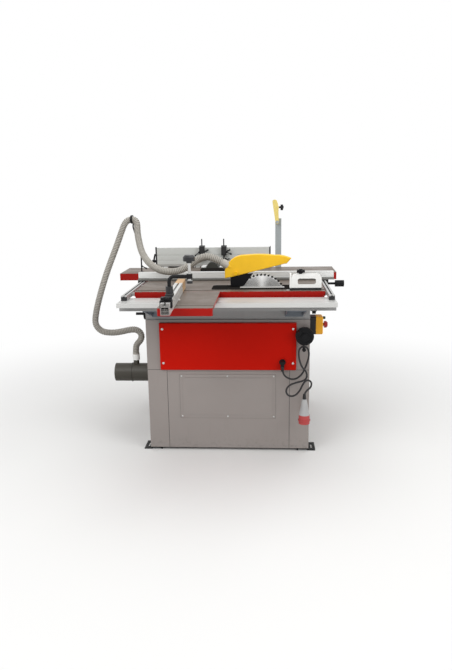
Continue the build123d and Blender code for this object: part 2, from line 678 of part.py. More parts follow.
def saw_guard():
    """Yellow guard, a thin shell open below, with a dust nozzle at its back."""
    y0, y1 = BLADE_Y - GUARD_HALF, BLADE_Y + GUARD_HALF
    shell = extrude(guard_outline(y0 + GUARD_BEVEL), amount=2 * (GUARD_HALF - GUARD_BEVEL), dir=(0, 1, 0))
    for y, way in ((y0 + GUARD_BEVEL, -1), (y1 - GUARD_BEVEL, 1)):
        shell += extrude(guard_outline(y), amount=GUARD_BEVEL, dir=(0, way, 0), taper=40)
    end = Vector(*HOSE_ROUTE[0])
    out = (Vector(*HOSE_ROUTE[1]) - end).normalized()
    nozzle = Plane(end, z_dir=-out)
    shell += nozzle * Cylinder(HOSE_R, 40, align=(Align.CENTER, Align.CENTER, Align.MIN))
    inner = offset(guard_outline(y0 + GUARD_WALL), amount=-GUARD_WALL)
    shell -= extrude(inner, amount=2 * (GUARD_HALF - GUARD_WALL), dir=(0, 1, 0))
    heel, _, z0 = guard_point(0, 0, 0)
    bend, _, z1 = guard_point(0.102, 0.043, 0)
    chin, _, z2 = guard_point(0.932, 0.604, 0)
    mouth = [(heel + 4, z0 - 12), (bend + 3, z1 - 12), (chin - 6, z2 - 14), (chin - 7, z2 + 6),
             (bend + 3, z1 + 8), (heel + 4, z0 + 8)]
    shell -= along_y(mouth, y0 + GUARD_WALL, y1 - GUARD_WALL)
    shell -= nozzle * Cylinder(HOSE_BORE, 60, align=(Align.CENTER, Align.CENTER, Align.MIN))
    slot = BLADE_Y - KNIFE_T / 2 - KNIFE_CHEEK - 2
    shell -= block(GUARD_BACK - 10, GUARD_BACK + 22, slot, BLADE_Y + 4, GUARD_LOW - 12, GUARD_LOW + 38)
    return shell - rod_y(PIN_X, y0 - 1, y1 + 1, PIN_Z, PIN_R + RUN_FIT)


# Sliding table with its fence and clamp
def sliding_table():
    """Plate with a deep front lip, one T-slot and the shoes under it."""
    low = TABLE_TOP - SLIDE_SKIRT
    under = TABLE_TOP - SLIDE_T
    table = block(SLIDE_LEFT, SLIDE_RIGHT, SLIDE_FRONT, SLIDE_BACK, under, TABLE_TOP)
    table += block(SLIDE_LEFT, SLIDE_RIGHT, SLIDE_FRONT, SLIDE_FRONT + 10, low, under)
    lip = SLIDE_FRONT + 9
    for x in (SLIDE_LEFT + 30, (SLIDE_LEFT + SLIDE_RIGHT) / 2, SLIDE_RIGHT - 30):
        table += along_x([(lip, low), (lip, under + 1), (RAIL_FRONT - 60, under + 1)], x - 4, x + 4)
    table = fillet(table.edges().filter_by(Axis.Z).sort_by(Axis.Y)[:2], 8)
    slot_y = SLIDE_FRONT + 60
    table -= block(SLIDE_LEFT - 1, SLIDE_RIGHT + 1, slot_y - 4, slot_y + 4, TABLE_TOP - 4, TABLE_TOP + 1)
    table -= block(SLIDE_LEFT - 1, SLIDE_RIGHT + 1, slot_y - 8, slot_y + 8, TABLE_TOP - 8, TABLE_TOP - 4)
    return group(table, slide_shoes())


def slide_shoes():
    """Two plastic shoes under the table that hold the rail from above, in front and behind."""
    top = TABLE_TOP - SLIDE_T
    bottom = RAIL_TOP + GAP
    front, back = RAIL_FRONT - GAP, RAIL_BACK + GAP
    lip = bottom - 16
    outline = [(front - 11, lip), (front, lip), (front, bottom), (back, bottom), (back, lip),
               (back + 11, lip), (back + 11, top), (front - 11, top)]
    return group(*[along_x(outline, x, x + 60) for x in (SLIDE_LEFT + 12, SLIDE_RIGHT - 72)])


def extruded_bar(y0, y1):
    """Crosscut fence profile: hollow bar with a T-slot on top and grooves at the sides."""
    z0 = TABLE_TOP + FENCE_LIFT
    z1 = z0 + FENCE_H
    x0, x1 = PIVOT_X - FENCE_W / 2, PIVOT_X + FENCE_W / 2
    bar = block(x0, x1, y0, y1, z0, z1)
    bar -= block(PIVOT_X - TSLOT_MOUTH / 2, PIVOT_X + TSLOT_MOUTH / 2, y0 - 1, y1 + 1, z1 - 5, z1 + 1)
    bar -= block(PIVOT_X - TSLOT_W / 2, PIVOT_X + TSLOT_W / 2, y0 - 1, y1 + 1, z1 - TSLOT_D, z1 - 4)
    bar -= block(x0 + 4, x1 - 4, y0 - 1, y1 + 1, z0 + 4, z1 - TSLOT_D - 4)
    for x in (x0, x1):
        bar -= block(x - 2, x + 2, y0 - 1, y1 + 1, z1 - 20, z1 - 14)
    return bar


def crosscut_fence():
    bar = extruded_bar(FENCE_FRONT, FENCE_BACK)
    bar += rod_z(PIVOT_X, PIVOT_Y, TABLE_TOP, TABLE_TOP + FENCE_LIFT + 1, 25)
    return group(turned(bar, PIVOT_X, PIVOT_Y, FENCE_TURN), clamp_post())


def fence_end_block():
    """Wooden splinter block on the fence's end next to the blade."""
    z0 = TABLE_TOP + FENCE_LIFT
    half = FENCE_W / 2
    wood = block(PIVOT_X - half, PIVOT_X + half, FENCE_BACK, FENCE_BACK + END_BLOCK, z0, z0 + FENCE_H)
    wood = chamfer(wood.faces().sort_by(Axis.Y)[-1].edges(), 1.5)
    return turned(wood, PIVOT_X, PIVOT_Y, FENCE_TURN)


def fence_stop():
    """Length stop: a saddle on the crosscut fence with its star knob."""
    top = TABLE_TOP + FENCE_LIFT + FENCE_H
    half = FENCE_W / 2
    saddle = block(PIVOT_X - half - 6, PIVOT_X + half + 6, STOP_Y - 16, STOP_Y + 16, top, top + 5)
    for side in (-1, 1):
        x0 = PIVOT_X + side * (half + 3 + GAP / 2)
        saddle += block(x0 - 3 + GAP / 2, x0 + 3 - GAP / 2, STOP_Y - 16, STOP_Y + 16, top - 24, top + 1)
    saddle += Pos(PIVOT_X, STOP_Y, top + 5) * star(24, 15)
    return turned(saddle, PIVOT_X, PIVOT_Y, FENCE_TURN)


def clamp_post():
    """Foot on the crosscut fence with the bored boss that the hold-down clamp turns in."""
    top = TABLE_TOP + FENCE_LIFT + FENCE_H
    foot = block(PIVOT_X - 16, PIVOT_X + 16, CLAMP_Y - 24, CLAMP_Y + 24, top, top + 14)
    foot = chamfer(foot.faces().sort_by(Axis.Z)[-1].edges(), 3)
    foot += rod_z(PIVOT_X, CLAMP_Y, top + 10, top + CLAMP_BASE_H, 2 * CLAMP_ROD_R)
    foot -= rod_z(PIVOT_X, CLAMP_Y, top + 5, top + CLAMP_BASE_H + 1, CLAMP_ROD_R + RUN_FIT)
    return turned(foot, PIVOT_X, PIVOT_Y, FENCE_TURN)


def clamp_arm():
    """Swinging arm of the clamp: a bent round bar with a nut boss at its end."""
    stand = (PIVOT_X, CLAMP_Y, TABLE_TOP + FENCE_LIFT + FENCE_H + 6)
    end_x = PIVOT_X + CLAMP_REACH
    corner, end = (PIVOT_X, CLAMP_Y, CLAMP_ARM_Z), (end_x, CLAMP_Y, CLAMP_ARM_Z)
    path = FilletPolyline(stand, corner, end, radius=CLAMP_BEND)
    arm = sweep(Plane(stand, z_dir=(0, 0, 1)) * Circle(CLAMP_ROD_R), path=path)
    arm += rod_z(end_x, CLAMP_Y, CLAMP_ARM_Z - 10, CLAMP_ARM_Z + 10, 12)
    arm -= rod_z(end_x, CLAMP_Y, CLAMP_ARM_Z - 20, CLAMP_ARM_Z + 20, CLAMP_SCREW_R + RUN_FIT)
    return turned(arm, PIVOT_X, PIVOT_Y, FENCE_TURN)


def clamp_screw():
    """Clamp screw with its pressure foot and mushroom knob."""
    x, z = PIVOT_X + CLAMP_REACH, CLAMP_ARM_Z
    screw_rod = rod_z(x, CLAMP_Y, z - 20, z + 58, CLAMP_SCREW_R)
    foot = rod_z(x, CLAMP_Y, z - 29, z - 18, 12)
    knob = rod_z(x, CLAMP_Y, z + 54, z + 64, 12) + rod_z(x, CLAMP_Y, z + 62, z + 86, 25)
    knob = chamfer(knob.edges().sort_by(Axis.Z)[-1], 8)
    return turned(screw_rod + foot + knob, PIVOT_X, PIVOT_Y, FENCE_TURN)


# Rip fence and mitre gauge
def rip_fence():
    """Hollow fence profile with a low ledge at its front."""
    y, back = RIP_Y, RIP_Y + RIP_T
    outline = [(y - 20, RIP_BOTTOM), (back, RIP_BOTTOM), (back, RIP_TOP), (y, RIP_TOP), (y, RIP_BOTTOM + 8),
               (y - 20, RIP_BOTTOM + 8)]
    fence = along_x(outline, LEFT_RAIL_X - 14, RIGHT_RAIL_X + 68)
    fence -= block(LEFT_RAIL_X - 20, RIGHT_RAIL_X + 80, y + 4, back - 4, RIP_BOTTOM + 5, RIP_TOP - 4)
    for z in (RIP_BOTTOM + 16, RIP_TOP - 10):
        fence -= block(LEFT_RAIL_X - 20, RIGHT_RAIL_X + 80, y - 1, y + 1.2, z - 1.5, z + 1.5)
    return fence


def rip_carriages():
    """End carriages of the rip fence, each a plate over its side rail with an outer cheek."""
    y0, y1 = RIP_Y - 20, RIP_Y + RIP_T
    rest = SIDE_RAIL_TOP + GAP
    left = block(LEFT_RAIL_X - 14, LEFT_RAIL_X + SIDE_RAIL_W, y0, y1, rest, RIP_BOTTOM)
    left += block(LEFT_RAIL_X - 14, LEFT_RAIL_X - GAP, y0, y1, SIDE_RAIL_TOP - SIDE_RAIL_H, rest)
    outer = RIGHT_RAIL_X + SIDE_RAIL_W + GAP
    right = block(RIGHT_RAIL_X, outer + 14, y0, y1, rest, RIP_BOTTOM)
    right += block(outer, outer + 14, y0, y1, RIP_KNOB_Z - 16, rest)
    right -= rod_x(outer - 1, outer + 15, (y0 + y1) / 2, RIP_KNOB_Z, 6 + RUN_FIT)
    return group(left, right)


def rip_knob():
    """Fluted lock knob of the rip fence with its screw."""
    y = RIP_Y + RIP_T / 2 - 10
    start = RIGHT_RAIL_X + SIDE_RAIL_W + GAP
    screw_rod = rod_x(start + 2, RIP_KNOB_END - 40, y, RIP_KNOB_Z, 6)
    grip = rod_x(RIP_KNOB_END - 46, RIP_KNOB_END, y, RIP_KNOB_Z, 17)
    flute = rod_x(RIP_KNOB_END - 38, RIP_KNOB_END + 1, 18.5, 0, 3.5)
    for i in range(8):
        grip -= Pos(0, y, RIP_KNOB_Z) * Rot(45 * i, 0, 0) * flute
    return screw_rod + grip


def gauge_bar():
    """Guide bar of the mitre gauge in the table's slot, with the pivot boss."""
    half = GAUGE_SLOT_W / 2 - GAP
    low = TABLE_TOP - GAUGE_SLOT_D + GAP
    bar = block(GAUGE_X - 65, GAUGE_X + 95, GAUGE_Y - half, GAUGE_Y + half, low, TABLE_TOP - GAP)
    return bar + rod_z(GAUGE_X, GAUGE_Y, TABLE_TOP - GAP, TABLE_TOP + 1, half)


def gauge_head():
    """White cast head: an upright frame with a hand opening and a face plate at its left end."""
    z0 = TABLE_TOP + 1
    x0, x1 = 311, 453
    frame = block(x0, x1, GAUGE_Y - 10, GAUGE_Y + 10, z0, GAUGE_TOP)
    frame = fillet(frame.edges().filter_by(Axis.Y).sort_by(Axis.Z)[-2:], 22)
    window = block(x0 + 30, x1 - 26, GAUGE_Y - 11, GAUGE_Y + 11, z0 + 24, GAUGE_TOP - 21)
    frame -= fillet(window.edges().filter_by(Axis.Y), 10)
    frame += block(x0 - 7, x0, GAUGE_Y - 14, GAUGE_Y + 45, z0, GAUGE_TOP)
    gusset = [(x0, GAUGE_Y + 10), (x0 + 40, GAUGE_Y + 10), (x0, GAUGE_Y + 40)]
    return frame + along_z(gusset, z0, z0 + 8)


def gauge_knob():
    return Pos(GAUGE_X, GAUGE_Y, GAUGE_TOP) * star(20, 23)


# Planer and thicknesser
def planer_cheeks():
    """Front and rear cheek plates with the bearings of the cutterblock and the rollers."""
    low, high = PLANER_LOW - INFEED_DROP - 1, TABLE_TOP - 4
    hump = CUT_GAP - 5
    outline = [(CUT_X - CHEEK_HALF, SHELF_Z), (CUT_X + CHEEK_HALF, SHELF_Z), (CUT_X + CHEEK_HALF, low),
               (CUT_X + hump, low), (CUT_X + hump, high), (CUT_X - hump, high), (CUT_X - hump, PLANER_LOW),
               (CUT_X - CHEEK_HALF, PLANER_LOW)]
    cheeks = []
    for y in (PLANER_FRONT, PLANER_BACK - CHEEK_T):
        cheek = along_y(outline, y, y + CHEEK_T)
        cheek -= rod_y(CUT_X, y - 1, y + CHEEK_T + 1, CUT_Z, 12 + RUN_FIT)
        for side in (-1, 1):
            cheek -= rod_y(CUT_X + side * ROLLER_DX, y - 1, y + CHEEK_T + 1, ROLLER_Z, JOURNAL_R + RUN_FIT)
        cheeks.append(cheek)
    return group(*cheeks)


def ribbed_table(x0, x1, ribs):
    """Cast planer table: web, rim, cross ribs, and a bevelled lip at the cutterblock's side."""
    table = block(x0, x1, PLANER_FRONT, PLANER_BACK, PLANER_LOW, TABLE_TOP)
    solid_from, solid_to = CUT_X - CHEEK_HALF - 4, CUT_X + CHEEK_HALF + 4
    a, b = (x0 + 12, min(x1 - 12, solid_from)) if x0 < CUT_X else (max(x0 + 12, solid_to), x1 - 12)
    pocket = block(a, b, PLANER_FRONT + 12, PLANER_BACK - 12, PLANER_LOW - 1, TABLE_TOP - 11)
    for i in range(1, ribs + 1):
        x = a + (b - a) * i / (ribs + 1)
        pocket -= block(x - 5, x + 5, PLANER_FRONT, PLANER_BACK, PLANER_LOW - 2, TABLE_TOP)
    return table - pocket


def lip_cut():
    """Room for the cutterblock under the two table lips."""
    return rod_y(CUT_X, PLANER_FRONT - 1, PLANER_BACK + 1, CUT_Z, CUT_R + KNIFE_OUT + 4)


def infeed_table():
    """Right-hand planer table with two flanges that slide on the cheeks."""
    table = ribbed_table(INFEED_END, PLANER_RIGHT, 3) - lip_cut()
    for y in (PLANER_FRONT - 8, PLANER_BACK):
        table += block(CUT_X + 100, CUT_X + CHEEK_HALF - 5, y, y + 8, PLANER_LOW - 40, PLANER_LOW + 20)
    return table


def outfeed_table():
    """Left-hand planer table with the hinge ears of the planer fence on its rear edge."""
    pieces = [ribbed_table(PLANER_LEFT, OUTFEED_END, 2) - lip_cut()]
    for x in HINGES_X:
        ears = rod_x(x - 20, x + 20, HINGE_Y, HINGE_Z, HINGE_R)
        for side in (-1, 1):
            ear = rod_x(min(side * 12.3, side * 20), max(side * 12.3, side * 20), HINGE_Y, HINGE_Z, 8.5)
            ear += block(min(side * 12.3, side * 20), max(side * 12.3, side * 20), PLANER_BACK, HINGE_Y,
                         PLANER_LOW + 18, HINGE_Z)
            ears += Pos(x, 0, 0) * ear
        pieces.append(ears)
    return group(*pieces)


def cutterblock():
    """Cutterblock with three knives, journals and its belt pulley inside the cabinet."""
    y0, y1 = PLANER_FRONT + CHEEK_T + GAP, PLANER_BACK - CHEEK_T - GAP
    drum = rod_y(CUT_X, y0, y1, CUT_Z, CUT_R)
    for i in range(3):
        place = Pos(CUT_X, 0, CUT_Z) * Rot(0, 30 + 120 * i, 0)
        drum -= place * block(CUT_R - 12, CUT_R + 2, y0 - 1, y1 + 1, -3, 9)
        drum += place * block(CUT_R - 14, CUT_R + KNIFE_OUT, y0 + 2, y1 - 2, -3, 0)
        drum += place * block(CUT_R - 14, CUT_R - 4, y0 + 2, y1 - 2, -1, 7)
    drum += rod_y(CUT_X, BELT_Y - BELT_W / 2, PLANER_BACK, CUT_Z, 12)
    return drum + grooved_pulley(CUT_X, CUT_Z, PULLEY_R, BELT_Y, BELT_W)


def feed_roller(side):
    """Feed roller with flutes on its face and two journals."""
    x = CUT_X + side * ROLLER_DX
    y0, y1 = PLANER_FRONT + CHEEK_T + GAP, PLANER_BACK - CHEEK_T - GAP
    roller = rod_y(x, y0, y1, ROLLER_Z, ROLLER_R)
    flute = rod_y(ROLLER_R + 0.8, y0 - 1, y1 + 1, 0, 2)
    for i in range(6):
        roller -= Pos(x, 0, ROLLER_Z) * Rot(0, 60 * i, 0) * flute
    return roller + rod_y(x, PLANER_FRONT, PLANER_BACK, ROLLER_Z, JOURNAL_R)


def thickness_bed():
    """Thicknesser bed on its stem, with ribs below."""
    x0, x1 = CUT_X - BED_HALF, CUT_X + BED_HALF
    y0, y1 = PLANER_FRONT + CHEEK_T + 2, PLANER_BACK - CHEEK_T - 2
    bed = block(x0, x1, y0, y1, BED_TOP - BED_T, BED_TOP)
    pocket = block(x0 + 10, x1 - 10, y0 + 10, y1 - 10, BED_TOP - BED_T - 1, BED_TOP - 10)
    pocket -= block(CUT_X - 70, CUT_X + 70, PLANER_FRONT, PLANER_BACK, BED_TOP - BED_T - 2, BED_TOP)
    return bed - pocket + rod_z(CUT_X, BED_Y, SHELF_Z - 40, BED_TOP - BED_T + 4, STEM_R)


def bed_column():
    """Guide column of the bed, flanged on the cabinet's rear shelf."""
    top = BED_TOP - BED_T - BED_DOWN - 6
    column = rod_z(CUT_X, BED_Y, SHELF_Z - 60, top, COLUMN_R) + rod_z(CUT_X, BED_Y, SHELF_Z, SHELF_Z + 8, 70)
    return column - rod_z(CUT_X, BED_Y, SHELF_Z - 61, top + 1, STEM_R + RUN_FIT)


def planer_motor():
    """Finned motor on the inner shelf, and the belt from its pulley up to the cutterblock."""
    y0, y1 = 325, BELT_Y - BELT_W / 2 - 8
    motor = rod_y(CUT_X, y0 + 20, y1, MOTOR_Z, MOTOR_R - 6) + rod_y(CUT_X, y0, y0 + 20, MOTOR_Z, MOTOR_R - 16)
    fin = block(MOTOR_R - 9, MOTOR_R, y0 + 30, y1 - 10, -2, 2)
    for i in range(12):
        motor += Pos(CUT_X, 0, MOTOR_Z) * Rot(0, 15 + 30 * i, 0) * fin
    motor += block(CUT_X - 55, CUT_X + 55, y0 + 40, 470, INNER_SHELF_Z + 4, MOTOR_Z - MOTOR_R + 20)
    motor -= rod_y(CUT_X, y1 - 40, y1 + 1, MOTOR_Z, JOURNAL_R + RUN_FIT)
    loop = belt(CUT_X, MOTOR_Z, MOTOR_PULLEY_R, CUT_Z, PULLEY_R, BELT_Y, BELT_W - 1)
    return group(motor, loop)


def planer_motor_pulley():
    shaft = rod_y(CUT_X, BELT_Y - BELT_W / 2 - 45, BELT_Y, MOTOR_Z, JOURNAL_R)
    return shaft + grooved_pulley(CUT_X, MOTOR_Z, MOTOR_PULLEY_R, BELT_Y, BELT_W)


def planer_fence():
    """Fence profile with grooves, end caps, hinge eyes below it and the two presser clamps on top."""
    y0, y1 = PF_FRONT, PF_FRONT + PF_T
    outline = [(y0 + 6, PF_BOTTOM), (y1, PF_BOTTOM), (y1, PF_TOP), (y0, PF_TOP), (y0, PF_BOTTOM + 16)]
    bar = along_x(outline, PF_LEFT, PF_RIGHT)
    bar -= block(PF_LEFT - 1, PF_RIGHT + 1, y0 + 9, y1 - 4, PF_BOTTOM + 6, PF_TOP - 5)
    for z in (PF_BOTTOM + 38, PF_TOP - 46):
        bar -= block(PF_LEFT - 1, PF_RIGHT + 1, y0 - 1, y0 + 3, z - 4, z + 4)
    for x in HINGES_X:
        eye = rod_x(x - 12, x + 12, HINGE_Y, HINGE_Z, 11)
        eye += block(x - 12, x + 12, HINGE_Y - 6, HINGE_Y + 6, HINGE_Z, PF_BOTTOM + 1)
        bar += eye - rod_x(x - 13, x + 13, HINGE_Y, HINGE_Z, HINGE_R + RUN_FIT)
    pieces = [bar]
    for x in (PF_LEFT - PF_CAP, PF_RIGHT):
        cap = block(x, x + PF_CAP, y0 - 2, y1 + 2, PF_BOTTOM + 2, PF_TOP + 5)
        cap = fillet(cap.edges().filter_by(Axis.X), 3)
        pieces.append(cap - rod_x(PF_LEFT - 20, PF_LEFT + 1, LEVER_Y, LEVER_Z, LEVER_STEM_R + RUN_FIT))
    for x in PRESSER_X:
        clamp = block(x - 16, x + 16, PRESSER_Y - 13, y1, PF_TOP, PF_TOP + 12)
        clamp += block(x - 16, x + 16, PRESSER_Y - 13, y0, PF_TOP - 46, PF_TOP + 12)
        clamp = chamfer(clamp.faces().sort_by(Axis.Y)[0].edges(), 4)
        wing = block(0, 32, -4, 4, -5, 5)
        clamp += Pos(x + 12, PRESSER_Y - 4, PF_TOP - 26) * Rot(0, -28, 0) * wing
        pieces.append(clamp - rod_z(x, PRESSER_Y, PF_TOP - 60, PF_TOP + 20, PRESSER_R + RUN_FIT))
    return group(*pieces)


def fence_lever():
    """Lock lever on the left end of the planer fence, its stem in the end cap."""
    x1 = PF_LEFT - PF_CAP - GAP
    lever = rod_x(x1 - 20, PF_LEFT + 18, LEVER_Y, LEVER_Z, LEVER_STEM_R)
    lever += rod_x(x1 - 24, x1, LEVER_Y, LEVER_Z, 9)
    grip = Cone(6, 4.5, 46, align=(Align.CENTER, Align.CENTER, Align.MIN))
    return lever + Pos(x1 - 15, LEVER_Y, LEVER_Z) * Rot(0, 12, 0) * grip


def presser(x):
    """Plain presser rod with the bent shoe that holds the work down."""
    z0 = PF_TOP - 76
    rod = rod_z(x, PRESSER_Y, z0 + 8, PF_TOP + 54, PRESSER_R)
    half = [(26, 0), (34, 12), (30, 12), (23, 4), (12, 12)]
    outline = [(x + u, z0 + v) for u, v in half] + [(x - u, z0 + v) for u, v in reversed(half)]
    return rod + along_y(outline, PRESSER_Y - 15, PRESSER_Y + 15)


def cutter_hood():
    """Dark half-round hood over the cutterblock on a stepped base, open below."""
    y0, y1 = HOOD_FRONT, HOOD_FRONT + HOOD_LEN
    top = TABLE_TOP + HOOD_BASE_H
    outer = block(CUT_X - HOOD_HALF, CUT_X + HOOD_HALF, y0, y1, TABLE_TOP, top)
    outer = chamfer(outer.edges().filter_by(Axis.Y).sort_by(Axis.Z)[-2:], 8)
    dome = rod_y(CUT_X, y0, y1, top, HOOD_DOME_R)
    dome -= block(CUT_X - 50, CUT_X + 50, y0 - 1, y1 + 1, top - 60, top)
    inner = block(CUT_X - CUT_GAP, CUT_X + CUT_GAP, y0 + 3, y1 - 3, TABLE_TOP - 1, top - 4)
    inner += rod_y(CUT_X, y0 + 3, y1 - 3, top - 6, HOOD_DOME_R - 4)
    return outer + dome - inner


def guard_post():
    """Square tube post on the infeed table's rear edge with a slanted top and a pivot pin."""
    x0, x1 = POST_X - POST_W / 2, POST_X + POST_W / 2
    y0, y1 = PLANER_BACK, PLANER_BACK + POST_W
    low = PLANER_LOW - 20
    post = along_y([(x0, low), (x1, low), (x1, POST_TOP), (x0 + 10, POST_TOP), (x0, POST_TOP - 22)], y0, y1)
    post -= block(x0 + 3, x1 - 3, y0 + 3, y1 - 3, low - 1, POST_TOP - 30)
    return post + rod_y(ARM_X, y0 - 32, y0 + 2, ARM_Z, 5) + rod_y(ARM_X, y0 - 36, y0 - 28, ARM_Z, 9)


def guard_arm():
    """Yellow swing arm of the planer guard on the post's pin, with its star knob."""
    y0, y1 = PLANER_BACK - 27.5, PLANER_BACK - GAP
    left, foot, right, hip, bulge, neck, top, end, hollow = [(ARM_X + x, y0, ARM_Z + z) for x, z in (
        (-10, -6), (0, -13), (10, -4), (7, 60), (4, 105), (-4, 127), (-17, 131), (-29, 122), (-20, 60))]
    edges = [ThreePointArc(left, foot, right), Line(right, hip), ThreePointArc(hip, bulge, neck),
             ThreePointArc(neck, top, end), ThreePointArc(end, hollow, left)]
    arm = extrude(make_face(Curve() + edges), amount=y1 - y0, dir=(0, 1, 0))
    arm -= rod_y(ARM_X, y0 - 1, y1 + 1, ARM_Z, 5 + RUN_FIT)
    mid = (y0 + y1) / 2
    knob = Pos(ARM_X + 14, mid, ARM_Z + 86) * Rot(0, 90, 0) * star(18, 24)
    stem = rod_x(ARM_X + 5, ARM_X + 16, mid, ARM_Z + 86, 5)
    arm -= rod_x(ARM_X, ARM_X + 16, mid, ARM_Z + 86, 5)
    return group(arm, knob + stem)


# Dust port, hose and holder
def dust_port():
    """Round spigot with a wall flange and an upright stub, and the collar that joins the hose to the stub."""
    wall_x = -CAB_HALF
    port = rod_x(PORT_END, wall_x, PORT_Y, PORT_Z, PORT_R)
    port += rod_x(wall_x - 4, wall_x, PORT_Y, PORT_Z, PORT_R + 12)
    port += rod_x(PORT_END + SPIGOT_LEN, PORT_END + SPIGOT_LEN + 3, PORT_Y, PORT_Z, PORT_R + 3)
    port += rod_z(STUB_X, PORT_Y, PORT_Z, COLLAR_BOTTOM, STUB_R)
    port -= rod_x(PORT_END - 1, wall_x + 1, PORT_Y, PORT_Z, PORT_R - PORT_WALL)
    port -= rod_z(STUB_X, PORT_Y, PORT_Z, COLLAR_BOTTOM + 1, HOSE_BORE)
    collar = rod_z(STUB_X, PORT_Y, COLLAR_BOTTOM, COLLAR_TOP, STUB_R + 4)
    collar -= rod_z(STUB_X, PORT_Y, COLLAR_BOTTOM - 1, COLLAR_TOP + 1, HOSE_BORE)
    return group(port, collar)


def hose_sections(path):
    """Places along the hose's path as planes whose X axis keeps steady from one to the next."""
    def plane(share, side):
        ahead = path % share
        side = (side - ahead * side.dot(ahead)).normalized()
        return Plane(path @ share, x_dir=side, z_dir=ahead), side
    return plane


def dust_hose():
    """Ribbed hose from the guard's nozzle to the collar, bored through."""
    path = tube_path("hose", HOSE_ROUTE)
    plain = 2 * HOSE_R / path.length
    pitch = (1 - 2 * plain) / HOSE_RIBS
    place = hose_sections(path)
    marks = [(0, HOSE_VALLEY)]
    for i in range(HOSE_RIBS):
        start = plain + i * pitch
        marks += [(start, HOSE_VALLEY), (start + 0.16 * pitch, HOSE_R), (start + 0.62 * pitch, HOSE_R),
                  (start + 0.78 * pitch, HOSE_VALLEY)]
    marks.append((1, HOSE_VALLEY))
    bores = [0, plain] + [plain + (i + 0.89) * pitch for i in range(HOSE_RIBS)] + [1]
    side = Vector(0, 1, 0)
    rings = []
    for share, radius in marks:
        where, side = place(share, side)
        rings.append(where * Circle(radius))
    side = Vector(0, 1, 0)
    holes = []
    for share in bores:
        where, side = place(share, side)
        holes.append(where * Circle(HOSE_BORE))
    hose = loft(rings, ruled=True) - loft(holes, ruled=True)
    full = math.pi * (HOSE_R ** 2 - HOSE_BORE ** 2) * path.length
    print("hose volume", round(hose.volume), "of", round(full))
    return hose


def hose_holder():
    """Bent rod on the outfeed table with a ring round the hose's highest bend."""
    route = FilletPolyline(*HOLDER_ROUTE, radius=25)
    start = Plane(HOLDER_ROUTE[0], z_dir=(0, 0, 1))
    rod = sweep(start * Circle(HOLDER_R), path=route)
    x, y, z = HOLDER_ROUTE[0]
    rod += rod_z(x, y, z, z + 8, 14)
    path = FilletPolyline(*HOSE_ROUTE, radius=bend_radii(HOSE_ROUTE))
    top = max((i / 400 for i in range(401)), key=lambda share: (path @ share).Z)
    ring = Cylinder(HOSE_R + 5, 10) - Cylinder(HOSE_R + 1.5, 12)
    ring = Plane(path @ top, z_dir=path % top) * ring
    return rod + ring


# Controls
def lift_wheel():
    """Lift handwheel: rim, web stiffened by three spokes, hub, shaft and crank handle."""
    y0, y1 = WHEEL_Y, WHEEL_Y + 14
    wheel = rod_y(WHEEL_X, y0, y1, WHEEL_Z, WHEEL_R) - rod_y(WHEEL_X, y0 - 1, y1 + 1, WHEEL_Z, WHEEL_R - 11)
    spoke = block(8, WHEEL_R - 8, y0 + 3, y1 - 3, -7, 7)
    for i in range(3):
        wheel += Pos(WHEEL_X, 0, WHEEL_Z) * Rot(0, 30 + 120 * i, 0) * spoke
    wheel += rod_y(WHEEL_X, y0 + 5, y1 - 5, WHEEL_Z, WHEEL_R - 8)
    wheel += rod_y(WHEEL_X, y0 - 4, y1 + 8, WHEEL_Z, 15) + rod_y(WHEEL_X, y1, 40, WHEEL_Z, SHAFT_R)
    a = math.radians(135)
    hx, hz = WHEEL_X + (WHEEL_R - 6) * math.cos(a), WHEEL_Z + (WHEEL_R - 6) * math.sin(a)
    return wheel + rod_y(hx, y0 - 42, y0 + 2, hz, 7)


def lock_knob():
    """Lock knob under the handwheel: a stem with a round head."""
    knob = rod_y(LOCK_X, -60, 10, LOCK_Z, LOCK_STEM_R)
    head = chamfer(rod_y(LOCK_X, -76, -58, LOCK_Z, 9).edges().sort_by(Axis.Y)[0], 3)
    return knob + head


def bed_wheel():
    """Small handwheel of the thicknesser bed on the left wall."""
    wall_x = -CAB_HALF
    wheel = rod_x(wall_x - 20, wall_x - 10, SIDE_WHEEL_Y, SIDE_WHEEL_Z, SIDE_WHEEL_R)
    wheel = chamfer(wheel.edges().sort_by(Axis.X)[0], 3)
    wheel += rod_x(wall_x - 12, wall_x + 12, SIDE_WHEEL_Y, SIDE_WHEEL_Z, SHAFT_R)
    return wheel + rod_x(wall_x - 57, wall_x - 15, SIDE_WHEEL_Y - SIDE_WHEEL_R + 8, SIDE_WHEEL_Z + 4, 7)


def side_knob():
    """Star knob with its stem on the right wall."""
    stem = rod_x(CAB_HALF - 8, CAB_HALF + 8, SIDE_KNOB_Y, SIDE_KNOB_Z, JOURNAL_R / 2)
    return stem + Pos(CAB_HALF + 5, SIDE_KNOB_Y, SIDE_KNOB_Z) * Rot(0, 90, 0) * star(21, 30)


def switch_box():
    """Switch housing on the right wall: a dark base and a yellow cover with the holes of the two buttons."""
    y0, y1 = SWITCH_Y - SWITCH_HALF_Y, SWITCH_Y + SWITCH_HALF_Y
    z0, z1 = SWITCH_Z - SWITCH_HALF_Z, SWITCH_Z + SWITCH_HALF_Z
    base = fillet(block(SWITCH_X, SWITCH_X + 32, y0, y1, z0, z1).edges().filter_by(Axis.X), 6)
    cover = fillet(block(SWITCH_X + 32, SWITCH_X + 67, y0, y1, z0, z1).edges().filter_by(Axis.X), 6)
    cover = chamfer(cover.faces().sort_by(Axis.X)[-1].edges(), 5)
    cover -= rod_x(SWITCH_X + 45, SWITCH_X + 70, SWITCH_Y, SWITCH_Z, STOP_STEM_R + GAP)
    cover -= rod_x(SWITCH_X + 45, SWITCH_X + 70, SWITCH_Y, START_Z, START_R + GAP)
    return group(base, cover)


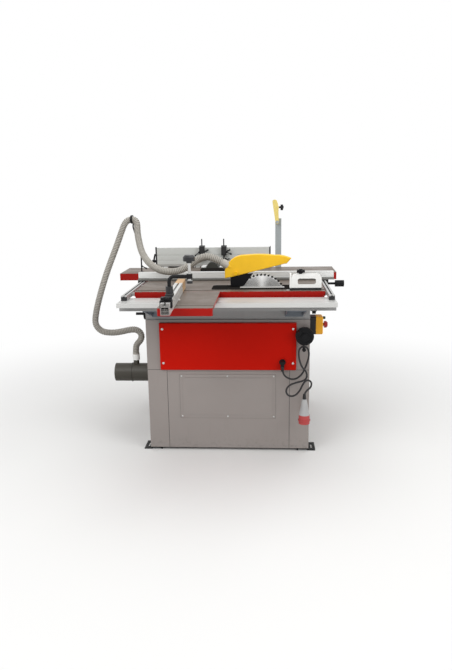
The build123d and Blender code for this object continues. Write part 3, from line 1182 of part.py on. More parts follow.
def stop_button():
    face = SWITCH_X + 67
    head = chamfer(rod_x(face + 7, face + 25, SWITCH_Y, SWITCH_Z, STOP_R).edges().sort_by(Axis.X)[-1], 6)
    return head + rod_x(face - 12, face + 8, SWITCH_Y, SWITCH_Z, STOP_STEM_R)


def start_button():
    face = SWITCH_X + 67
    return chamfer(rod_x(face - 12, face + 14, SWITCH_Y, START_Z, START_R).edges().sort_by(Axis.X)[-1], 1.5)


# Supply cable
def cable_gland():
    """Elbow gland on the red cover with its outlet downwards."""
    elbow = rod_y(GLAND_X, GLAND_Y - 12, -RED_DEPTH, GLAND_Z, 11)
    elbow += rod_y(GLAND_X, -RED_DEPTH - 5, -RED_DEPTH, GLAND_Z, 16)
    return elbow + rod_z(GLAND_X, GLAND_Y, CABLE_ROUTE[0][2], GLAND_Z - 4, 8)


def supply_cable():
    """Supply cable, one unbroken tube hung in loops over the lock knob."""
    path = tube_path("cable", CABLE_ROUTE)
    cable = sweep(Plane(CABLE_ROUTE[0], z_dir=path % 0) * Circle(CABLE_R), path=path)
    print("cable gap", round(least_self_gap(path, CABLE_R, 3), 2), "volume", round(cable.volume),
          "of", round(math.pi * CABLE_R ** 2 * path.length))
    return cable


def supply_plug():
    """Plug with a tapered handle and a wide round shell, open at its end with its pins inside."""
    x, y, z = CABLE_ROUTE[-1]
    handle = Pos(x, y, z) * Rot(180, 0, 0) * Cone(11, 26, PLUG_HANDLE, align=(Align.CENTER, Align.CENTER, Align.MIN))
    low = z - PLUG_LEN
    shell = rod_z(x, y, low, z - PLUG_HANDLE, PLUG_R) + rod_z(x, y, low + 14, low + 20, PLUG_R + 3)
    shell -= rod_z(x, y, low - 1, low + 34, PLUG_R - 4)
    for i in range(5):
        a = math.radians(90 + 72 * i)
        shell += rod_z(x + 16 * math.cos(a), y + 16 * math.sin(a), low + 6, low + 36, 3)
    return handle + shell


PIECES = {
    "base_cabinet": base_cabinet, "access_cover": access_cover, "red_cover": red_cover,
    "foot_brackets": foot_brackets, "saw_table": saw_table,
    "table_insert": table_insert, "side_rails": side_rails, "slide_rail": slide_rail,
    "rail_brackets": rail_brackets, "saw_blade": saw_blade, "saw_arbor": saw_arbor,
    "saw_carriage": saw_carriage, "saw_column": saw_column, "saw_motor": saw_motor,
    "saw_motor_pulley": saw_motor_pulley, "saw_belt": saw_belt, "riving_knife": riving_knife,
    "saw_guard": saw_guard, "sliding_table": sliding_table, "crosscut_fence": crosscut_fence,
    "fence_end_block": fence_end_block, "fence_stop": fence_stop, "clamp_arm": clamp_arm,
    "clamp_screw": clamp_screw, "rip_fence": rip_fence, "rip_carriages": rip_carriages,
    "rip_knob": rip_knob, "gauge_bar": gauge_bar, "gauge_head": gauge_head, "gauge_knob": gauge_knob,
    "planer_cheeks": planer_cheeks, "infeed_table": infeed_table, "outfeed_table": outfeed_table,
    "cutterblock": cutterblock, "infeed_roller": lambda: feed_roller(1),
    "outfeed_roller": lambda: feed_roller(-1), "thickness_bed": thickness_bed, "bed_column": bed_column,
    "planer_motor": planer_motor, "planer_motor_pulley": planer_motor_pulley,
    "planer_fence": planer_fence, "fence_lever": fence_lever, "presser_left": lambda: presser(PRESSER_X[0]),
    "presser_right": lambda: presser(PRESSER_X[1]), "cutter_hood": cutter_hood,
    "guard_post": guard_post, "guard_arm": guard_arm, "dust_port": dust_port, "dust_hose": dust_hose,
    "hose_holder": hose_holder, "lift_wheel": lift_wheel, "lock_knob": lock_knob,
    "bed_wheel": bed_wheel, "side_knob": side_knob, "switch_box": switch_box,
    "stop_button": stop_button, "start_button": start_button, "cable_gland": cable_gland,
    "supply_cable": supply_cable, "supply_plug": supply_plug,
}

os.makedirs("parts", exist_ok=True)
for name, make in PIECES.items():
    export_step(Pos(*SHIFT) * make(), "parts/" + name + ".step")
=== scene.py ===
"""Looks of a combination woodworking machine.

Finishes, hose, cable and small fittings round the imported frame.
"""
import math
import bmesh
import bpy
from mathutils import Matrix, Vector


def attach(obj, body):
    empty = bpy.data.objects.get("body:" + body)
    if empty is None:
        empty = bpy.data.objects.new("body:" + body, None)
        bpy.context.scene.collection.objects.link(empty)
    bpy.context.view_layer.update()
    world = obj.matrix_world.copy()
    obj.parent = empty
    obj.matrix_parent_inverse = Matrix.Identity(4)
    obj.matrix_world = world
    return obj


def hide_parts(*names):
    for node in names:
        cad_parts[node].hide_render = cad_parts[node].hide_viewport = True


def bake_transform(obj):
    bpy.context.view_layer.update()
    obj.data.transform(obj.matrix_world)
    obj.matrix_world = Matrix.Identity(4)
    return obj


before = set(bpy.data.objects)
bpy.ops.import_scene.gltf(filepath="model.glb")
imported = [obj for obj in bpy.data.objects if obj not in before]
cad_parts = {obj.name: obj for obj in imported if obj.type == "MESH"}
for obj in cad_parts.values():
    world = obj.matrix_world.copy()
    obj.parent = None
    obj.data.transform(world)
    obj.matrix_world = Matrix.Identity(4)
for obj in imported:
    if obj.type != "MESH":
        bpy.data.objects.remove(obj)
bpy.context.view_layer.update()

MM = 0.001
# The machine's own origin, the middle of the cabinet's front foot line, in the frame
ORIGIN = Vector((28, -84.8, 0)) * MM


def at(x, y, z):
    """Place measured from the cabinet's front foot line, in millimetres."""
    return Vector((x, y, z)) * MM + ORIGIN


# Camera at the photograph's place
CAMERA_AT = at(198.6, -3049.6, 1325.5)
CAMERA_PITCH = math.radians(13.11)
CAMERA_YAW = math.radians(-3.85)
CAMERA_ROLL = math.radians(-0.92)
CAMERA_LENS = 33.94
SENSOR = 36
CAMERA_REACH = 100


def place_camera():
    """Camera fitted to the machine's straight edges in the photograph."""
    ahead = Vector((math.sin(CAMERA_YAW) * math.cos(CAMERA_PITCH),
                    math.cos(CAMERA_YAW) * math.cos(CAMERA_PITCH), -math.sin(CAMERA_PITCH)))
    right = Vector((math.cos(CAMERA_YAW), -math.sin(CAMERA_YAW), 0))
    up = right.cross(ahead)
    right, up = (right * math.cos(CAMERA_ROLL) + up * math.sin(CAMERA_ROLL),
                 up * math.cos(CAMERA_ROLL) - right * math.sin(CAMERA_ROLL))
    data = bpy.data.cameras.new("camera")
    data.sensor_fit = "VERTICAL"
    data.sensor_height = SENSOR
    data.lens = CAMERA_LENS
    data.clip_end = CAMERA_REACH
    camera = bpy.data.objects.new("camera", data)
    turn = Matrix((right, up, -ahead)).transposed().to_4x4()
    camera.matrix_world = Matrix.Translation(CAMERA_AT) @ turn
    bpy.context.collection.objects.link(camera)
    bpy.context.scene.camera = camera


place_camera()


# Finishes
NOISE_ROUGHNESS = 0.55
COAT_ROUGHNESS = 0.12
MASK_EDGE = 0.0004


class Val:
    """A socket that can be used in expressions like a number."""

    def __init__(self, tree, socket):
        self.tree = tree
        self.socket = socket

    def math(self, operation, *others):
        return self.tree.add("ShaderNodeMath", {"operation": operation}, dict(enumerate((self, *others))))

    def swapped(self, operation, other):
        return self.tree.add("ShaderNodeMath", {"operation": operation}, {0: other, 1: self})

    def __add__(self, other):
        return self.math("ADD", other)

    def __sub__(self, other):
        return self.math("SUBTRACT", other)

    def __mul__(self, other):
        return self.math("MULTIPLY", other)

    def __or__(self, other):
        """Where either mask is on."""
        return self.math("MAXIMUM", other)

    def __rsub__(self, other):
        return self.swapped("SUBTRACT", other)

    __radd__ = __add__
    __rmul__ = __mul__

    def above(self, edge, soft=MASK_EDGE):
        """Mask that goes from 0 to 1 where the value passes the edge."""
        return self.tree.add("ShaderNodeMapRange", {"interpolation_type": "SMOOTHSTEP"},
                             {"Value": self, "From Min": edge - soft, "From Max": edge + soft})

    def below(self, edge, soft=MASK_EDGE):
        return 1 - self.above(edge, soft)

    def between(self, low, high):
        return self.above(low) * self.below(high)

    def stretch(self, low, high):
        """The span from low to high spread over 0 to 1."""
        return self.tree.add("ShaderNodeMapRange", {}, {"Value": self, "From Min": low, "From Max": high})


class Tree:
    """The nodes of a material or of the world."""

    def __init__(self, owner):
        owner.use_nodes = True
        self.nodes = owner.node_tree.nodes
        self.links = owner.node_tree.links

    def add(self, kind, settings, inputs, out=0):
        """A new node, given back as one of its outputs."""
        node = self.nodes.new(kind)
        for key, value in settings.items():
            setattr(node, key, value)
        for key, value in inputs.items():
            self.put(node, key, value)
        return Val(self, node.outputs[out])

    def put(self, node, key, value):
        """Link or set one socket of a node."""
        if isinstance(value, Val):
            self.links.new(value.socket, node.inputs[key])
        else:
            node.inputs[key].default_value = value

    def background_rays(self):
        """Mask of the rays that show the white background: what the camera, metal and glass see."""
        camera, glossy, clear = [self.add("ShaderNodeLightPath", {}, {}, f"Is {kind} Ray")
                                 for kind in ("Camera", "Glossy", "Transmission")]
        return camera | glossy | clear


class Finish(Tree):
    """One material. The methods add its nodes."""

    def __init__(self, name, colour, rough, metal=0.0, coat=0.0, shine=0.5):
        self.material = bpy.data.materials.new(name)
        super().__init__(self.material)
        self.shader = self.nodes["Principled BSDF"]
        self.colour = colour
        self.set("Base Color", (*colour, 1))
        self.set("Roughness", rough)
        self.set("Metallic", metal)
        self.set("Coat Weight", coat)
        self.set("Coat Roughness", COAT_ROUGHNESS)
        self.set("Specular IOR Level", shine)

    def set(self, socket, value):
        self.put(self.shader, socket, value)

    def axes(self, vector):
        """A vector's three values."""
        split = self.add("ShaderNodeSeparateXYZ", {}, {0: vector})
        return [Val(self, split.socket.node.outputs[i]) for i in range(3)]

    def place(self):
        """Object coordinates as a vector."""
        return self.add("ShaderNodeTexCoord", {}, {}, "Object")

    def xyz(self):
        return self.axes(self.place())

    def facing(self):
        """The surface's own direction, as three values."""
        return self.axes(self.add("ShaderNodeTexCoord", {}, {}, "Normal"))

    def noise(self, scale, detail, stretch=(1, 1, 1)):
        """Noise from 0 to 1, with its own stretch along the axes."""
        where = self.add("ShaderNodeMapping", {}, {"Vector": self.place(), "Scale": stretch})
        return self.add("ShaderNodeTexNoise", {}, {"Vector": where, "Scale": scale, "Detail": detail,
                                                   "Roughness": NOISE_ROUGHNESS})

    def mix(self, mask, low, high):
        """Colour that goes from low to high with the mask."""
        low, high = [(*c, 1) if isinstance(c, tuple) else c for c in (low, high)]
        return self.add("ShaderNodeMix", {"data_type": "RGBA"}, {0: mask, 6: low, 7: high}, 2)

    def shade(self, mask, low, high, colour=None):
        """A colour, the finish's own unless given, between two strengths of it."""
        tones = [tuple(min(1, c * k) for c in colour or self.colour) for k in (low, high)]
        return self.mix(mask, *tones)

    def bump(self, height, strength, distance):
        """Fine relief, with its depth in metres."""
        relief = {"Height": height, "Strength": strength, "Distance": distance}
        self.set("Normal", self.add("ShaderNodeBump", {}, relief))


GREY = (0.270, 0.240, 0.225)
POST_GREY = (0.365, 0.400, 0.410)
# Painted shade: cooler grey under the table and the slide rail
STRIP_SHADE_GREY = (0.285, 0.283, 0.281)
BRACKET_GREY = (0.120, 0.140, 0.165)
SEAM = (0.035, 0.033, 0.032)
RED = (0.490, 0.007, 0.002)
RED_EDGE = (0.330, 0.006, 0.003)
IRON = (0.178, 0.144, 0.121)
IRON_STAIN = (0.134, 0.104, 0.084)
ALUMINIUM = (0.78, 0.79, 0.775)
RAIL_ALUMINIUM = (0.59, 0.59, 0.575)
FENCE_ALUMINIUM = (0.62, 0.635, 0.61)
DULL_ALUMINIUM = (0.60, 0.60, 0.585)
SIDE_ALUMINIUM = (0.46, 0.46, 0.45)
SAWN_ALUMINIUM = (0.23, 0.22, 0.21)
# Painted shade along the rip fence's foot
FOOT_SHADE = (0.15, 0.15, 0.14)
INSERT_BLACK = (0.020, 0.018, 0.017)
HOOD_GREY = (0.040, 0.041, 0.036)
HOOD_BLACK = (0.011, 0.010, 0.009)
STEEL = (0.58, 0.58, 0.57)
BLADE = (0.74, 0.74, 0.73)
BLACK = (0.007, 0.007, 0.008)
YELLOW = (0.86, 0.50, 0.013)
SWITCH_YELLOW = (0.76, 0.36, 0.012)
PALE_YELLOW = (0.80, 0.64, 0.20)
WHITE = (0.84, 0.84, 0.82)
WOOD = (0.60, 0.40, 0.22)
WOOD_DARK = (0.44, 0.265, 0.13)
HOSE_GREY = (0.42, 0.395, 0.35)
# Painted shade in the hose's rib valleys
HOSE_VALLEY_SHADE = (0.18, 0.17, 0.15)
PORT_GREY = (0.052, 0.047, 0.037)
PLUG_GREY = (0.38, 0.38, 0.38)
PLUG_RED = (0.42, 0.055, 0.055)
MOTOR_GREY = (0.13, 0.135, 0.14)
DUST = (0.42, 0.40, 0.37)
SCUFF_GREY = (0.12, 0.112, 0.105)
DULL_SPOT = (0.20, 0.17, 0.15)
# Painted highlight on the saw blade
HIGHLIGHT_WHITE = (0.93, 0.93, 0.92)
RIM_STEEL = (0.82, 0.82, 0.81)
# Painted shade at the blade's gullets
GULLET_SHADE = (0.02, 0.02, 0.02)
PORE_BROWN = (0.20, 0.11, 0.05)
# Darker colour towards the hose's bottom
HOSE_LOW_DARK = (0.12, 0.105, 0.09)
PAINT_BLACK = (0.010, 0.010, 0.011)
STOP_RED = (0.30, 0.008, 0.007)
START_GREEN = (0.006, 0.030, 0.012)
FLOOR_GREY = (0.80, 0.80, 0.79)

# Places where one finish or painted shade gives way to another, and the blade's marks and painted
# highlight, in metres
STRIP_SHADE_Z = 0.690
SCUFF_Z = (0.012, 0.085)
TABLE_RIM_Z = 0.8472
BLADE_CENTRE = at(172, 45, 789)
BLADE_RIM_R = 0.112
BLADE_GULLET_R = 0.1135
BLADE_RINGS = 9000
COLLAR_Z = 0.405
# Top of the black bottom band on the mitre gauge head
GAUGE_DARK_Z = 0.861
BLADE_TEETH = 40
HIGHLIGHT_SHARPNESS = 16
# Painted reflection strip on the table insert, in front of the blade
REFLECTION_LOW, REFLECTION_HIGH = at(66, 2, 0), at(281, 38, 0)
HOSE_LOW_DARK_Z = 0.78
RIP_SHADE_Z = 0.862
HOOD_BASE_Z = 0.8772
# Painted shade in the side rails' groove
LEFT_GROOVE_SHADE = (at(-466, 0, 0).x, at(-457, 0, 0).x)
RIGHT_GROOVE_SHADE = (at(485, 0, 0).x, at(494, 0, 0).x)
GROOVE_SHADE_Z = (0.842, 0.846)
# Edge of the painted shade on the slide rail's box
RAIL_BOX_SHADE = at(0, -250, 817)
SWITCH_COVER_X = at(440, 0, 0).x
GUARD_KNOB_X = at(268.5, 0, 0).x
PLUG_SHELL_Z = 0.232
CLAMP_FOOT_Z = 0.8978
PLANER_FENCE = (at(-481, 824, 0), at(210, 850, 972))
RAIL_CAP_Y = at(0, -205, 0).y
RAIL_CAP_Z = 0.843
GUARD_SIDES = (at(0, 29.5, 0).y, at(0, 60.5, 0).y)
SCREW_ENDS = (0.961, 1.033)
SEAM_LOW, SEAM_HIGH = at(-309, 0, 0), at(309, 0, 434)
SEAM_HALF = 1.3 * MM
COVER_LOW, COVER_HIGH = at(-247, 0, 176), at(241, 0, 412)
# Ground slots and seats in the painted edges, as x and y spans in millimetres
GAUGE_SLOT = (-500, 500, -82.5, -61.5)
INSERT_RECESS = (-74, 337, -58, 94)
CUTTER_MOUTH = (-139, -97, 550, 830)
HINGE_SEATS = (-460, -200, 825, 860)
SLIDE_SLOT = (-300, 0, -482, -464)


def enamel(name, colour, rough=0.34, coat=0.15, shine=0.4, dusty=0.30, marks=None):
    """Sprayed paint: faint orange peel, slow changes of tone and a little dust on what faces up."""
    f = Finish(name, colour, rough, coat=coat, shine=shine)
    cloud = f.noise(3.5, 4)
    paint = f.shade(cloud, 0.91, 1.08)
    if marks:
        paint = marks(f, paint)
    dust = f.facing()[2].above(0.5, 0.3) * f.noise(24, 5).stretch(0.35, 0.75) * dusty
    f.set("Base Color", f.mix(dust, paint, DUST))
    f.set("Roughness", rough + cloud * 0.10 + dust * 0.4)
    f.bump(f.noise(420, 2), 0.06, 0.0004)
    return f


def cabinet_marks(f, paint):
    """Cooler set-back upper strip as painted shade under the table and rail, dark seams round the panels,
    and a scuffed, oily foot edge.
    """
    x, _, z = f.xyz()
    low, high = SEAM_LOW, SEAM_HIGH
    left = x.between(low.x - SEAM_HALF, low.x + SEAM_HALF)
    right = x.between(high.x - SEAM_HALF, high.x + SEAM_HALF)
    upright = (left | right) * z.below(high.z)
    across = z.between(high.z - SEAM_HALF, high.z + SEAM_HALF) * (x.below(low.x) | x.above(high.x))
    edge = x.between(COVER_LOW.x, COVER_HIGH.x) * z.between(COVER_LOW.z, COVER_HIGH.z)
    seam = (upright | across | edge * 0.4) * f.facing()[1].below(-0.5, 0.1)
    # Painted shade: cooler grey strip under the table and rail
    paint = f.mix(z.above(STRIP_SHADE_Z, 0.001), paint, f.shade(f.noise(9, 4), 0.85, 1.12, STRIP_SHADE_GREY))
    scuff = (1 - z.stretch(*SCUFF_Z)) * f.noise(60, 6).stretch(0.50, 0.72)
    runs = f.noise(34, 4, (1, 1, 0.12)).stretch(0.60, 0.82) * 0.12
    paint = f.mix(scuff * 0.5 + runs, paint, SCUFF_GREY)
    return f.mix(seam * 0.85, paint, SEAM)


def gauge_dark_bottom(f, paint):
    """The mitre gauge head is black along its bottom band."""
    return f.mix(f.xyz()[2].below(GAUGE_DARK_Z), paint, BLACK)


def hood_base(f, paint):
    """The cutter hood's base is darker than its dome."""
    return f.mix(f.xyz()[2].below(HOOD_BASE_Z), paint, HOOD_BLACK)


def iron_table(name, edge=RED_EDGE, bare=()):
    """Machined iron top with grinding lines and oil stains, over painted edges.

    The spans listed as bare stay unpainted.
    """
    f = Finish(name, IRON, 0.30, shine=0.14)
    x, y, z = f.xyz()
    metal = f.facing()[2].above(0.5, 0.1)
    for x0, x1, y0, y1 in bare:
        low, high = at(x0, y0, 0), at(x1, y1, 0)
        metal = metal | (x.between(low.x, high.x) * y.between(low.y, high.y))
    lines = f.noise(260, 2, (0.04, 1, 1))
    stain = f.noise(7, 5).stretch(0.35, 0.70)
    chips = z.above(TABLE_RIM_Z, 0.0022) * f.noise(170, 4).stretch(0.52, 0.62)
    metal = metal | chips
    ground = f.mix(stain, f.shade(lines, 0.86, 1.14), IRON_STAIN)
    paint = f.shade(f.noise(4, 3), 0.90, 1.10, edge)
    f.set("Base Color", f.mix(metal, paint, ground))
    f.set("Metallic", metal * 0.2)
    f.set("Roughness", 0.36 + metal * (stain * 0.16 + lines * 0.08 - 0.06))
    f.set("Coat Weight", 0.03 * (1 - metal))
    f.bump(lines * metal, 0.05, 0.0003)
    return f


def drawn_aluminium(name, along, tone=ALUMINIUM, metal=0.4, fittings=None, sawn=False, other=BLACK):
    """Anodised extrusion with fine drawing lines along its length.

    Fittings and painted shade on it take another colour, and a sawn end is dull.
    """
    f = Finish(name, tone, 0.34)
    lines = f.noise(520, 2, tuple(0.015 if i == along else 1 for i in range(3)))
    cloud = f.noise(6, 3)
    colour = f.shade(lines * 0.6 + cloud * 0.4, 0.90, 1.08)
    rough = 0.32 + lines * 0.14
    if sawn:
        colour = f.mix(f.facing()[1].below(-0.7, 0.1), colour, SAWN_ALUMINIUM)
    # The other colour covers fittings and painted shade
    if fittings:
        fitted = fittings(*f.xyz())
        colour = f.mix(fitted, colour, other)
        metal = metal * (1 - fitted)
        rough = rough + fitted * 0.10
    f.set("Base Color", colour)
    f.set("Metallic", metal)
    f.set("Roughness", rough)
    f.bump(lines, 0.04, 0.0002)
    return f


def bright_steel(name, fittings=None):
    """Turned or ground steel with fine marks and a few dull spots. Moulded fittings on it are black."""
    rough = 0.26
    f = Finish(name, STEEL, rough)
    marks = f.noise(380, 3)
    spots = f.noise(40, 5).stretch(0.55, 0.75)
    tone = f.mix(spots * 0.4, f.shade(marks, 0.88, 1.10), DULL_SPOT)
    metal = 0.9
    if fittings:
        fitted = fittings(*f.xyz())
        tone = f.mix(fitted, tone, BLACK)
        metal = metal * (1 - fitted)
    f.set("Base Color", tone)
    f.set("Metallic", metal)
    f.set("Roughness", rough + marks * 0.10 + spots * 0.2)
    f.bump(marks, 0.03, 0.0002)
    return f


def saw_steel():
    """Blade: ground body with ring marks, a painted highlight band, polished rim and painted shade at each
    gullet.
    """
    f = Finish("saw_steel", BLADE, 0.24, 0.75)
    x, _, z = f.xyz()
    dx, dz = x - BLADE_CENTRE.x, z - BLADE_CENTRE.z
    radius = (dx * dx + dz * dz).math("SQRT")
    rings = (radius * BLADE_RINGS).math("SINE") * 0.5 + 0.5
    rim = radius.above(BLADE_RIM_R, 0.002)
    turn = dz.math("ARCTAN2", dx)
    # Painted shade: dark patches at each gullet between the teeth
    gullet_shade = (turn * BLADE_TEETH).math("SINE").above(-0.25, 0.3) * radius.above(BLADE_GULLET_R, 0.0015)
    worn = f.noise(30, 5)
    # Painted highlight: a bright band about the blade's upright line
    painted_highlight = (dz * dz).math("DIVIDE", radius * radius).math("POWER", HIGHLIGHT_SHARPNESS)
    body = f.mix(painted_highlight, f.shade(rings * 0.4 + worn * 0.6, 0.42, 0.72), HIGHLIGHT_WHITE)
    body = f.mix(rim, body, RIM_STEEL)
    f.set("Base Color", f.mix(gullet_shade, body, GULLET_SHADE))
    f.set("Roughness", 0.22 + rings * 0.08 + worn * 0.10 - rim * 0.06)
    f.bump(rings, 0.03, 0.0002)
    return f


def moulded(name, colour, rough=0.45, grain=0.10, other=None, where=None, shine=0.35):
    """Moulded plastic with a fine grain and changes of tone. A second colour may take part of the piece."""
    f = Finish(name, colour, rough, shine=shine)
    cloud = f.noise(14, 4)
    tone = f.shade(cloud, 0.88, 1.12)
    if where:
        tone = f.mix(where(*f.xyz()), tone, f.shade(cloud, 0.88, 1.12, other))
    f.set("Base Color", tone)
    f.set("Roughness", rough + cloud * 0.12 - 0.04)
    f.bump(f.noise(900, 2), grain, 0.0003)
    return f


def planed_wood():
    """Pale wood: rings along the grain and dark pores."""
    f = Finish("planed_wood", WOOD, 0.55)
    grain = f.noise(90, 5, (1, 0.06, 1))
    pores = f.noise(700, 2, (1, 0.05, 1)).stretch(0.58, 0.72)
    ringed = f.mix(grain.stretch(0.35, 0.65), WOOD, WOOD_DARK)
    f.set("Base Color", f.mix(pores * 0.4, ringed, PORE_BROWN))
    f.set("Roughness", 0.5 + grain * 0.15)
    f.bump(grain, 0.12, 0.0004)
    return f


def rubber(name):
    """Black rubber, dull and a little chalky."""
    f = Finish(name, BLACK, 0.55)
    fine = f.noise(600, 3)
    f.set("Base Color", f.shade(f.noise(20, 3), 0.8, 1.6))
    f.set("Roughness", 0.48 + fine * 0.16)
    f.bump(fine, 0.06, 0.0003)
    return f


def hose_plastic():
    """Thin ribbed plastic: pale crests, valleys darkened as painted shade, and darker towards the bottom.
    The rib height is stored on the tube.
    """
    f = Finish("hose_plastic", HOSE_GREY, 0.42)
    rib = f.add("ShaderNodeAttribute", {"attribute_name": "rib"}, {}, "Fac")
    cloud = f.noise(18, 4)
    # Painted shade: rib valleys darker than the crests
    rib_shaded = f.mix(rib, f.shade(cloud, 0.9, 1.1, HOSE_VALLEY_SHADE), f.shade(cloud, 0.92, 1.08))
    # Darker towards the bottom
    low_dark = f.xyz()[2].below(HOSE_LOW_DARK_Z, 0.2) * (0.12 + cloud * 0.20)
    f.set("Base Color", f.mix(low_dark, rib_shaded, HOSE_LOW_DARK))
    f.set("Roughness", 0.50 - rib * 0.10 + cloud * 0.08)
    f.bump(f.noise(800, 2), 0.05, 0.0002)
    return f


def planer_fence_fittings(x, y, z):
    """End caps and the pressers' clamps on the planer fence."""
    low, high = PLANER_FENCE
    return x.below(low.x) | x.above(high.x) | y.below(low.y) | z.above(high.z)


def rail_box_shade(x, y, z):
    """Painted shade on the box under the slide rail, behind its front lip."""
    return y.above(RAIL_BOX_SHADE.y) * z.below(RAIL_BOX_SHADE.z)


def side_rail_caps_and_groove_shade(x, y, z):
    """Painted shade along the side rails' groove, and the plastic in their front ends."""
    # Painted shade: black band in the groove
    groove = z.between(*GROOVE_SHADE_Z) * (x.between(*LEFT_GROOVE_SHADE) | x.between(*RIGHT_GROOVE_SHADE))
    return groove | (y.below(RAIL_CAP_Y) * z.below(RAIL_CAP_Z))


def throat_reflection(x, y, z):
    """Painted reflection: bright strip on the insert in front of the blade, for the bright surroundings
    mirrored in it.
    """
    return x.between(REFLECTION_LOW.x, REFLECTION_HIGH.x) * y.between(REFLECTION_LOW.y, REFLECTION_HIGH.y)


def rip_foot_shade(x, y, z):
    """Painted shade: dark band along the rip fence's foot, for the shadowed gap under it."""
    return z.below(RIP_SHADE_Z)


def clamp_foot(x, y, z):
    """The hold-down clamp's foot on the crosscut fence."""
    return z.above(CLAMP_FOOT_Z)


def clamp_screw_ends(x, y, z):
    """The clamp screw's pad and its knob."""
    return z.below(SCREW_ENDS[0]) | z.above(SCREW_ENDS[1])


def guard_pin_ends(x, y, z):
    """The guard pin's ends on both sides of the splitter."""
    return y.below(GUARD_SIDES[0]) | y.above(GUARD_SIDES[1])


def hose_collar(x, y, z):
    """White collar on the dust port's stub."""
    return z.above(COLLAR_Z)


def switch_cover(x, y, z):
    """Yellow cover on the switch's base."""
    return x.above(SWITCH_COVER_X)


def guard_knob(x, y, z):
    """Star knob beside the guard arm."""
    return x.above(GUARD_KNOB_X)


def plug_handle(x, y, z):
    """Grey handle above the plug's red shell."""
    return z.above(PLUG_SHELL_Z)


grey = enamel("grey_enamel", GREY)
cabinet_grey = enamel("cabinet_grey", GREY, marks=cabinet_marks)
post_grey = enamel("post_grey", POST_GREY)
red = enamel("red_enamel", RED, 0.42, 0.0, 0.05, 0.1)
black_paint = enamel("black_enamel", PAINT_BLACK, 0.45, 0.0, 0.14, 0.04)
white = enamel("white_powder", WHITE, 0.42, dusty=0.1, marks=gauge_dark_bottom)
hood_grey = enamel("hood_grey", HOOD_GREY, 0.42, shine=0.2, dusty=0.1, marks=hood_base)
bracket_grey = enamel("bracket_grey", BRACKET_GREY)
motor = enamel("motor_grey", MOTOR_GREY, 0.5)
table_iron = iron_table("table_iron", bare=[GAUGE_SLOT, INSERT_RECESS, CUTTER_MOUTH, HINGE_SEATS])
slide_iron = iron_table("slide_iron", bare=[SLIDE_SLOT])
bed_iron = iron_table("bed_iron", GREY)
# The box under the slide rail's lip takes painted shade
rail_alu = drawn_aluminium("rail_aluminium", 0, RAIL_ALUMINIUM, fittings=rail_box_shade, other=STRIP_SHADE_GREY)
# Painted shade along the rip fence's foot
rip_alu = drawn_aluminium("rip_fence_aluminium", 0, fittings=rip_foot_shade, other=FOOT_SHADE)
planer_alu = drawn_aluminium("planer_fence_aluminium", 0, FENCE_ALUMINIUM, 0.1, planer_fence_fittings)
# Painted shade in the side rails' groove
side_alu = drawn_aluminium("side_rail_aluminium", 1, SIDE_ALUMINIUM, fittings=side_rail_caps_and_groove_shade)
plate_alu = drawn_aluminium("plate_aluminium", 1, metal=0.1)
crosscut_alu = drawn_aluminium("crosscut_aluminium", 1, DULL_ALUMINIUM, fittings=clamp_foot, sawn=True)
web_alu = drawn_aluminium("fence_web_aluminium", 1, SAWN_ALUMINIUM)
steel = bright_steel("bright_steel")
screw_steel = bright_steel("clamp_screw_steel", clamp_screw_ends)
blade_steel = saw_steel()
black = moulded("black_moulded", BLACK, shine=0.15)
yellow = moulded("yellow_moulded", YELLOW, 0.34)
knife_black = moulded("splitter_black", BLACK, 0.40, 0.05, YELLOW, guard_pin_ends, 0.10)
stop_red = moulded("stop_red", STOP_RED, 0.30)
start_green = moulded("start_green", START_GREEN, 0.35)
port_plastic = moulded("port_plastic", PORT_GREY, 0.42, 0.10, WHITE, hose_collar)
switch_plastic = moulded("switch_housing", BLACK, 0.40, 0.08, SWITCH_YELLOW, switch_cover)
arm_plastic = moulded("guard_arm_yellow", PALE_YELLOW, 0.36, 0.08, BLACK, guard_knob)
plug_plastic = moulded("plug_shell", PLUG_RED, 0.36, 0.08, PLUG_GREY, plug_handle)
# Painted reflection: bright strip on the insert in front of the blade
insert_plate = moulded("insert_plate", INSERT_BLACK, 0.55, 0.05, DULL_ALUMINIUM, throat_reflection, 0.0)
cuff_plastic = moulded("cuff_plastic", HOSE_GREY, 0.5)
belt_rubber = rubber("belt_rubber")
sheath = rubber("cable_sheath")
wood = planed_wood()

LOOKS = {
    cabinet_grey: ["base_cabinet"],
    grey: ["access_cover", "planer_cheeks"],
    post_grey: ["guard_post"],
    bracket_grey: ["rail_brackets"],
    hood_grey: ["cutter_hood"],
    red: ["red_cover"],
    white: ["gauge_head"],
    black_paint: ["foot_brackets", "clamp_arm", "presser_left", "presser_right"],
    motor: ["saw_carriage", "saw_motor", "planer_motor"],
    table_iron: ["saw_table", "infeed_table", "outfeed_table"],
    slide_iron: ["sliding_table"],
    bed_iron: ["thickness_bed"],
    rail_alu: ["slide_rail"],
    side_alu: ["side_rails"],
    rip_alu: ["rip_fence"],
    planer_alu: ["planer_fence"],
    crosscut_alu: ["crosscut_fence"],
    steel: ["saw_arbor", "saw_column", "saw_motor_pulley", "gauge_bar", "cutterblock", "infeed_roller",
            "outfeed_roller", "bed_column", "planer_motor_pulley"],
    screw_steel: ["clamp_screw"],
    blade_steel: ["saw_blade"],
    black: ["fence_stop", "rip_carriages", "rip_knob", "gauge_knob", "fence_lever", "hose_holder",
            "lift_wheel", "lock_knob", "bed_wheel", "side_knob", "cable_gland"],
    yellow: ["saw_guard"],
    knife_black: ["riving_knife"],
    insert_plate: ["table_insert"],
    port_plastic: ["dust_port"],
    switch_plastic: ["switch_box"],
    arm_plastic: ["guard_arm"],
    plug_plastic: ["supply_plug"],
    stop_red: ["stop_button"],
    start_green: ["start_button"],
    belt_rubber: ["saw_belt"],
    wood: ["fence_end_block"],
}
for finish, nodes in LOOKS.items():
    for node in nodes:
        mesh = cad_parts[node].data
        mesh.materials.clear()
        mesh.materials.append(finish.material)


